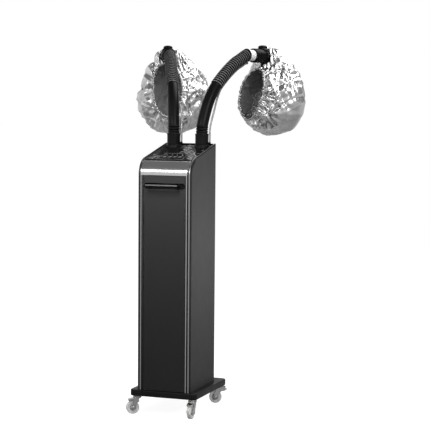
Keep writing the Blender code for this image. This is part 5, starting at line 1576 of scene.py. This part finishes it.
def makeHood(side, sign, s):
    place = armFrame(side, sign) @ alongArm
    body = "hood_" + side
    start, end, r = s["start"], s["end"], s["cylinder"]
    seat, bore, ahead = fitting["collar"] + fit, r - s["wall"], fitting["collarAhead"] + fit
    form = [(r - inset, start + along) for inset, along in s["startForm"]]
    profile = [(seat, start), *form, (r, end - s["endEdge"]), (r - s["endEdge"], end), (bore, end),
               (bore, ahead), (seat, ahead)]
    addTurned("hoodCylinder_" + side, profile, place, body, *moulded, "hood_cylinder_" + side)
    port, plug, outer = s["port"], bore - fit, end + fit + s["capLength"]
    form = [(r - inset, outer - along) for inset, along in s["capForm"]]
    profile = [(port, end - s["capPlug"]), (plug, end - s["capPlug"]), (plug, end + fit), (r, end + fit),
               *form, (port + s["portEdge"][0], outer), (port, outer - s["portEdge"][1])]
    addTurned("hoodCap_" + side, profile, place, body, *moulded, "hood_cap_" + side)
    makeStrap(side, sign, s, place, body)
    makeKnob(side, sign, s, place, outer)


def makeStrap(side, sign, s, place, body):
    inner, thick, half = s["cylinder"] + fit, s["strapThick"], s["strapHalf"]
    low, high, top, (inset, along) = s["knobAt"] - half, s["knobAt"] + half, inner + thick, s["strapEdge"]
    profile = [(inner, low), (top - inset, low), (top, low + along), (top, high - along), (top - inset, high),
               (inner, high)]
    band = latheMesh("strapBand", profile, fitting["around"], place)
    tail = roundedBlock("strapTail", (-half, low, -inner - s["strapTail"]),
                        (half, low + thick, -inner - thick / 2), s["tailCorner"], s["tailEdge"],
                        armFrame(side, sign))
    name = "hoodStrap_" + side
    addPiece(name, joinMeshes(name, band, tail), body, *moulded, "hood_strap_" + side)


# knob: a ribbed dome on a saddle that is cut to the cylinder, the strap and the cap's outer face
def makeKnob(side, sign, s, along, outer):
    place = armFrame(side, sign) @ Matrix.Translation((0, s["knobAt"], 0))
    inner = s["cylinder"] + fit
    high = inner + s["strapThick"]
    seat = high + fit
    r, tall, edge, wall = s["knob"], s["knobHeight"], s["knobEdge"], s["knobWall"]
    steps = quarter(s["domeSteps"])
    dome = [(r * across, seat + tall * (wall + (1 - wall) * rise)) for across, rise in steps]
    profile = [(0, seat), (r - edge, seat), (r, seat + edge), *dome[:-1], (0, seat + tall)]
    dome = latheMesh("knobDome", profile, s["knobAround"], place)
    (wide, low), shoulder = s["saddle"], r - s["saddleIn"]
    mound = [(shoulder + (wide - shoulder) * across, low + (high - low) * rise) for across, rise in steps]
    profile = [(0, low - s["saddleDepth"]), (wide, low - s["saddleDepth"]), *mound, (0, high)]
    name = "knobSaddle_" + side
    saddle = latheMesh(name, profile, s["knobAround"], place)
    start, groove = s["start"], s["strapHalf"] + fit
    front, back = s["knobAt"] - groove, s["knobAt"] + groove
    bed = [(0, start), (inner, start), (inner, front), (seat, front), (seat, back), (inner, back),
           (inner, outer), (2 * seat, outer), (2 * seat, 2 * outer), (0, 2 * outer)]
    saddle = carve(name, saddle, latheMesh("saddleBed", bed, fitting["around"], along))
    addPiece(name, saddle, "hood_" + side, *moulded)
    grip = roundedBlock("gripItem", (*s["gripLow"], 0.0), (*s["gripHigh"], tall * s["gripHeight"]),
                        s["gripCorner"], s["gripEdge"])
    places = []
    for across, deep in circle(s["grips"]):
        way = Vector((across, deep, 0))
        at = way * (r - s["gripSink"]) + Vector((0, 0, seat + s["gripRise"]))
        places.append((place @ at, (0, 0, 1), place.to_3x3() @ way, 1.0))
    name = "hoodKnob_" + side
    mesh = joinMeshes(name, dome, scatter("knobGrips", grip, places, "mouldedBlack"))
    addPiece(name, mesh, "knob_" + side, *moulded, "hood_knob_" + side)


for side, sign in sides:
    makeSocket(side, sign, fitting)
    makeCuff(side, sign, fitting)
    makeArmFittings(side, sign, fitting)
    makeHood(side, sign, hood)
print("hose fittings ready")

# casters: a clear wheel with a dark hub in a bright fork, the rear pair with a foot brake
caster = {
    # name, stem's place, way that the wheel trails in degrees, with a brake or not
    "stems": (("front_left", (-0.114, -0.124), 214, False), ("front_right", (0.114, -0.124), 270, False),
              ("rear_left", (-0.114, 0.189), 160, True), ("rear_right", (0.114, 0.189), 200, True)),
    "trail": 0.018, "edge": 0.0005, "edgeSegments": 2,
    # swivel disc: how far in from its radius, and how far from its bottom or top
    "disc": 0.0165, "discTop": 0.0717, "discHeight": 0.010, "discAround": 64,
    "discLower": ((0.0018, 0), (0, 0.0014), (0, 0.0046), (0.0012, 0.0052), (0.0012, 0.0060), (0, 0.0066)),
    "discUpper": ((0, 0.0014), (0.0016, 0)),
    "stem": 0.005, "stemTop": 0.0877, "stemEdge": 0.0006,
    "legGap": 0.0015, "plate": 0.003, "legTop": 0.004, "legFront": 0.75, "legBack": 0.55,
    "footArc": (160, 200, 16), "earRound": 0.002, "earDrop": 0.010, "earFoot": (0.2, 0.014),
    "crown": (0.0358, 0.0275), "crownArc": (44, 78, 18), "crownLap": 0.0005,
    "axle": 0.004, "axleAround": 40, "head": 0.0065, "headHeight": 0.003, "headSink": 0.001,
    "headForm": ((0.002925, 0), (0.0006, 0.0008), (0, 0.0018)),
    "wheel": 0.025, "half": 0.009, "wheelAround": 72, "wheelSharp": 35, "boss": 0.0085,
    "bossEdge": (0.0005, 0.0006), "dish": 0.003, "slant": 0.0010, "tread": 0.007, "treadStep": 0.0019,
    "treadDrop": 0.0010, "shoulder": 0.004, "shoulderDrop": 0.0028, "shoulderSteps": 6,
    "ringForm": ((0.0011, 0), (0.0036, 0), (0.0034, 0.0007), (0.0013, 0.0007)), "ringAround": 48,
    "spokes": 8, "spokeFrom": 0.0030, "spokeShort": 0.0004, "spokeHalf": 0.0009, "spokeCorner": 0.0006,
    "spokeEdge": 0.0003,
    "pivot": 0.0035, "pivotOut": 0.017, "pivotEdge": 0.0004, "pivotAround": 32, "lever": 0.011,
    "leverSteps": 12, "leverHalf": 0.0015, "leverDrop": 0.003, "leverCurl": 0.0012, "curlFrom": 0.75,
    "leverWidth": 0.8,
}
discBottom = caster["discTop"] - caster["discHeight"]

# base plate with a rounded top edge, and a hole for each caster stem and for the lower hinge
base = {"low": (-0.140, -0.145), "high": (0.134, 0.215), "bottom": 0.072, "top": 0.096, "corner": 0.022,
        "cornerSteps": 14, "edge": 0.005, "edgeSteps": 7,
        "footForm": ((0.0015, 0), (0.0004, 0.0005), (0.0, 0.0016)),
        "stemHole": (0.0053, 0.0880, 40), "hinge": (-0.0785, -0.133), "hingeHole": (0.0024, 0.0836, 32),
        "cutPast": 0.01}


def boreMesh(name, at, radius, low, high, around):
    profile = [(0, low), (radius, low), (radius, high), (0, high)]
    return latheMesh(name, profile, around, Matrix.Translation((*at, 0)))


def makeBase(s):
    (x0, y0), (x1, y1) = s["low"], s["high"]
    rows = [(inset, s["bottom"] + rise) for inset, rise in s["footForm"]]
    for across, rise in quarter(s["edgeSteps"]):
        rows.append((s["edge"] * (1 - across), s["top"] - s["edge"] * (1 - rise)))
    rings = []
    for inset, height in rows:
        low, high = (x0 + inset, y0 + inset), (x1 - inset, y1 - inset)
        outline = roundedOutline(low, high, s["corner"] - inset, s["cornerSteps"])
        rings.append([(*p, height) for p in outline])
    radius, top, around = s["stemHole"]
    low = s["bottom"] - s["cutPast"]
    cutters = [boreMesh("stemHole", stem[1], radius, low, top, around) for stem in caster["stems"]]
    radius, low, around = s["hingeHole"]
    cutters.append(boreMesh("hingeHole", s["hinge"], radius, low, s["top"] + s["cutPast"], around))
    mesh = carve("basePlate", ringStack("basePlate", rings), *cutters)
    addPiece("basePlate", mesh, "cabinet", "basePaint", "base_black", "base_plate")


def bothHalves(half):
    return [*half, *((radius, -height) for radius, height in reversed(half))]


def wheelArc(s, radius, start, sweep, steps):
    turns = [math.radians(start + sweep * step / steps) for step in range(steps + 1)]
    return [(radius * math.cos(turn) - s["trail"], radius * math.sin(turn) + s["wheel"]) for turn in turns]


def wheelMesh(s, axle):
    r, half, boss, (inset, drop) = s["wheel"], s["half"], s["boss"], s["bossEdge"]
    floor, rim, reach, slant = half - s["dish"], r - s["tread"], s["shoulder"], s["slant"]
    top = half - s["treadDrop"]
    profile = [(s["axle"] + fit, half), (boss - inset, half), (boss, half - drop), (boss + slant, floor),
               (rim, floor), (rim + slant, half - s["treadStep"]), (r - reach - slant, top)]
    for across, rise in quarter(s["shoulderSteps"]):
        profile.append((r - reach + reach * rise, top - s["shoulderDrop"] * (1 - across)))
    return latheMesh("wheel", bothHalves(profile), s["wheelAround"], axle, s["wheelSharp"])


def legMesh(s, sign, braked, place):
    top = discBottom + s["legTop"]
    front = [(-s["disc"] * s["legFront"], top), *wheelArc(s, s["boss"], *s["footArc"])]
    if braked:
        ear = s["pivotOut"] + s["pivot"] + s["earRound"]
        share, drop = s["earFoot"]
        rear = (s["disc"] * share, discBottom - drop)
        outline = [(ear, discBottom - s["earDrop"]), (ear, top), *front, rear]
    else:
        outline = [(s["disc"] * s["legBack"], top), *front]
    inner = s["half"] + s["legGap"]
    low, high = sorted((sign * inner, sign * (inner + s["plate"])))
    return prismMesh("leg", outline, low, high, place)


def makeFork(name, braked, s, place, axle):
    r, stem, top, edge = s["disc"], s["stem"], s["stemTop"], s["stemEdge"]
    lower = [(r - inset, discBottom + rise) for inset, rise in s["discLower"]]
    upper = [(r - inset, s["discTop"] - drop) for inset, drop in s["discUpper"]]
    tip = [(stem, s["discTop"]), (stem, top - edge), (stem - edge, top)]
    profile = [(0, discBottom), *lower, *upper, *tip, (0, top)]
    parts = [latheMesh("disc", profile, s["discAround"], place)]
    parts += [legMesh(s, sign, braked, place) for _, sign in sides]
    outer, inner = (wheelArc(s, radius, *s["crownArc"]) for radius in s["crown"])
    reach = s["half"] + s["legGap"]
    half = reach + s["crownLap"]
    parts.append(prismMesh("crown", [*outer, *reversed(inner)], -half, half, place))
    reach += s["plate"]
    head, top, sink = s["head"], reach + s["headHeight"], reach - s["headSink"]
    form = [(head - inset, top - drop) for inset, drop in s["headForm"]]
    profile = bothHalves([(0, top), *form, (head, sink), (s["axle"], sink)])
    parts.append(latheMesh("axle", profile, s["axleAround"], axle))
    title = "casterFork_" + name
    mesh = joinMeshes(title, *parts)
    fork = addPiece(title, mesh, "caster_" + name, "casterChrome", "caster_chrome", "caster_fork_" + name)
    roundEdges(fork, s["edge"], s["edgeSegments"])


def makeWheel(name, s, axle):
    body, boss, floor = "wheel_" + name, s["boss"], s["half"] - s["dish"]
    clear = ("wheelClear", "wheel_clear")
    addPiece("casterWheel_" + name, wheelMesh(s, axle), body, *clear, "caster_wheel_" + name)
    rings = []
    places = []
    for sign in (1, -1):
        profile = [(boss + out, sign * (floor + rise)) for out, rise in s["ringForm"]]
        rings.append(latheMesh("hubRing", profile, s["ringAround"], axle))
        for across, deep in circle(s["spokes"]):
            places.append((axle @ Vector((0, 0, sign * floor)), axle.to_3x3() @ Vector((0, 0, sign)),
                           axle.to_3x3() @ Vector((across, deep, 0)), 1.0))
    addPiece("wheelHub_" + name, joinMeshes("wheelHub_" + name, *rings), body, "hubGrey", "wheel_clear")
    half = s["spokeHalf"]
    end = s["wheel"] - s["tread"] - s["spokeShort"]
    spoke = roundedBlock("spokeItem", (boss + s["spokeFrom"], -half, 0.0), (end, half, half),
                         s["spokeCorner"], s["spokeEdge"])
    scatterPiece("wheelSpokes_" + name, spoke, places, body, *clear)


def makeBrake(name, s, place):
    half = s["half"] + s["legGap"] - fit
    r, edge = s["pivot"], s["pivotEdge"]
    at = place @ Matrix.Translation((0, s["pivotOut"], discBottom - r - fit))
    profile = bothHalves([(0, half), (r - edge, half), (r, half - edge)])
    boss = latheMesh("boss", profile, s["pivotAround"], at @ Matrix.Rotation(math.pi / 2, 4, "Y"))
    line = []
    for step in range(s["leverSteps"] + 1):
        t = step / s["leverSteps"]
        curl = max(0.0, t - s["curlFrom"]) / (1 - s["curlFrom"])
        line.append((s["lever"] * t, s["leverCurl"] * curl - s["leverDrop"] * t))
    thick, wide = s["leverHalf"], half * s["leverWidth"]
    outline = [(y, z + thick) for y, z in line] + [(y, z - thick) for y, z in reversed(line)]
    paddle = prismMesh("paddle", outline, -wide, wide, at)
    title = "brakeLever_" + name
    mesh = joinMeshes(title, boss, paddle)
    piece = addPiece(title, mesh, "brake_" + name, "casterChrome", "caster_chrome", "brake_lever_" + name)
    roundEdges(piece, s["edge"], s["edgeSegments"])


def makeCaster(name, at, trails, braked, s):
    place = Matrix.Translation((*at, 0)) @ Matrix.Rotation(math.radians(trails + 90), 4, "Z")
    axle = place @ Matrix.Translation((0, -s["trail"], s["wheel"])) @ Matrix.Rotation(math.pi / 2, 4, "Y")
    makeFork(name, braked, s, place, axle)
    makeWheel(name, s, axle)
    if braked:
        makeBrake(name, s, place)


makeBase(base)
for name, at, trails, braked in caster["stems"]:
    makeCaster(name, at, trails, braked, caster)
print("casters ready")

# back: screws round the rear panel and the inlet's pins
back = {"screwForm": ((0, 0), (0.0032, 0), (0.0032, 0.0003), (0.00288, 0.0009), (0.00192, 0.0014),
                      (0, 0.0016)),
        "screwAround": 32, "slotHalf": (0.001984, 0.0004), "slotSpan": (0.0009, 0.003), "slotCorner": 0.0002,
        "slotEdge": 0.0001, "columns": 0.0885, "heights": (0.118, 0.300, 0.480, 0.700, 0.860, 1.008),
        "screwTurn": 0.7, "inlet": (0.045, 0.2085), "pinPitch": 0.0075, "pinRise": (-0.0025, 0.0025, -0.0025),
        "pinBack": 0.1226, "pinHalf": (0.001, 0.002), "pinLength": 0.014, "pinCorner": 0.0006,
        "pinEdge": 0.0004}
steel = ("cabinet", "innerSteel", "inner_steel")


def screwMesh(s):
    head = latheMesh("screwHead", s["screwForm"], s["screwAround"], Matrix())
    (x, y), (low, high) = s["slotHalf"], s["slotSpan"]
    cuts = []
    for turn in (0.0, math.pi / 2):
        cuts.append(roundedBlock("screwCut", (-x, -y, low), (x, y, high), s["slotCorner"], s["slotEdge"],
                                 Matrix.Rotation(turn, 4, "Z")))
    return carve("screwItem", head, *cuts)


def makeBack(s):
    outward = (0, 1, 0)
    places = []
    for number, height in enumerate(s["heights"]):
        for sign in (-1, 1):
            turn = s["screwTurn"] * number + sign
            heading = (math.cos(turn), 0, math.sin(turn))
            places.append(((sign * s["columns"], shell["rear"], height), outward, heading, 1.0))
    scatterPiece("rearScrews", screwMesh(s), places, *steel)
    x, y = s["pinHalf"]
    pin = roundedBlock("pinItem", (-x, -y, 0.0), (x, y, s["pinLength"]), s["pinCorner"], s["pinEdge"])
    x, z = s["inlet"]
    places = []
    for number, rise in enumerate(s["pinRise"], -1):
        places.append(((x + number * s["pinPitch"], s["pinBack"], z + rise), outward, (1, 0, 0), 1.0))
    scatterPiece("inletPins", pin, places, *steel)


makeBack(back)

# inside: water in the tank, clamps on the steam ducts and parts on the control board
inside = {"waterLow": (-0.0705, -0.0965, 0.5265), "waterHigh": (0.0705, 0.0365, 0.700), "waterCorner": 0.002,
          "waterEdge": 0.0006, "clamps": ((0.026, 0.028, 0.3835), (0.059, 0.108, 0.960)),
          "clampBand": (0.0151, 0.0161, 0.004), "clampAround": 48, "clampLean": 0.3,
          "clampLow": (-0.0045, 0.0156, -0.0045), "clampHigh": (0.0045, 0.0212, 0.0045),
          "clampCorner": 0.0012, "clampEdge": 0.0006, "chips": 9, "chipRow": 5, "chipHalf": (0.005, 0.004),
          "chipThick": 0.0026, "chipCorner": 0.0008, "chipEdge": 0.0005, "chipFrom": (-0.044, 0.010, -0.018),
          "chipPitch": (0.022, 0.028), "chipShift": 0.006, "chipSize": (0.8, 0.15, 3)}


def makeInside(s):
    water = roundedBlock("tankWater", s["waterLow"], s["waterHigh"], s["waterCorner"], s["waterEdge"])
    addPiece("tankWater", water, "cabinet", "water", "tank_frosted")
    inner, outer, half = s["clampBand"]
    profile = [(inner, -half), (outer, -half), (outer, half), (inner, half)]
    ring = latheMesh("clampRing", profile, s["clampAround"], Matrix())
    box = roundedBlock("clampBox", s["clampLow"], s["clampHigh"], s["clampCorner"], s["clampEdge"])
    places = []
    for sign in (-1, 1):
        for x, y, z in s["clamps"]:
            places.append(((sign * x, y, z), (0, 0, 1), (sign, s["clampLean"], 0), 1.0))
    scatterPiece("ductClamps", joinMeshes("clampItem", ring, box), places, *steel)
    x, y = s["chipHalf"]
    chip = roundedBlock("chipItem", (-x, -y, 0.0), (x, y, s["chipThick"]), s["chipCorner"], s["chipEdge"])
    down = panelTurn @ Vector((0, 0, -1))
    x, y, z = s["chipFrom"]
    least, growth, kinds = s["chipSize"]
    places = []
    for number in range(s["chips"]):
        row, column = divmod(number, s["chipRow"])
        at = (x + s["chipPitch"][0] * column + s["chipShift"] * row, y + s["chipPitch"][1] * row, z)
        places.append((panelFrame @ Vector(at), down, (1, 0, 0), least + growth * (number % kinds)))
    scatterPiece("boardChips", chip, places, "cabinet", "mouldedBlack", "board_green")


makeInside(inside)
print("back and inside ready")
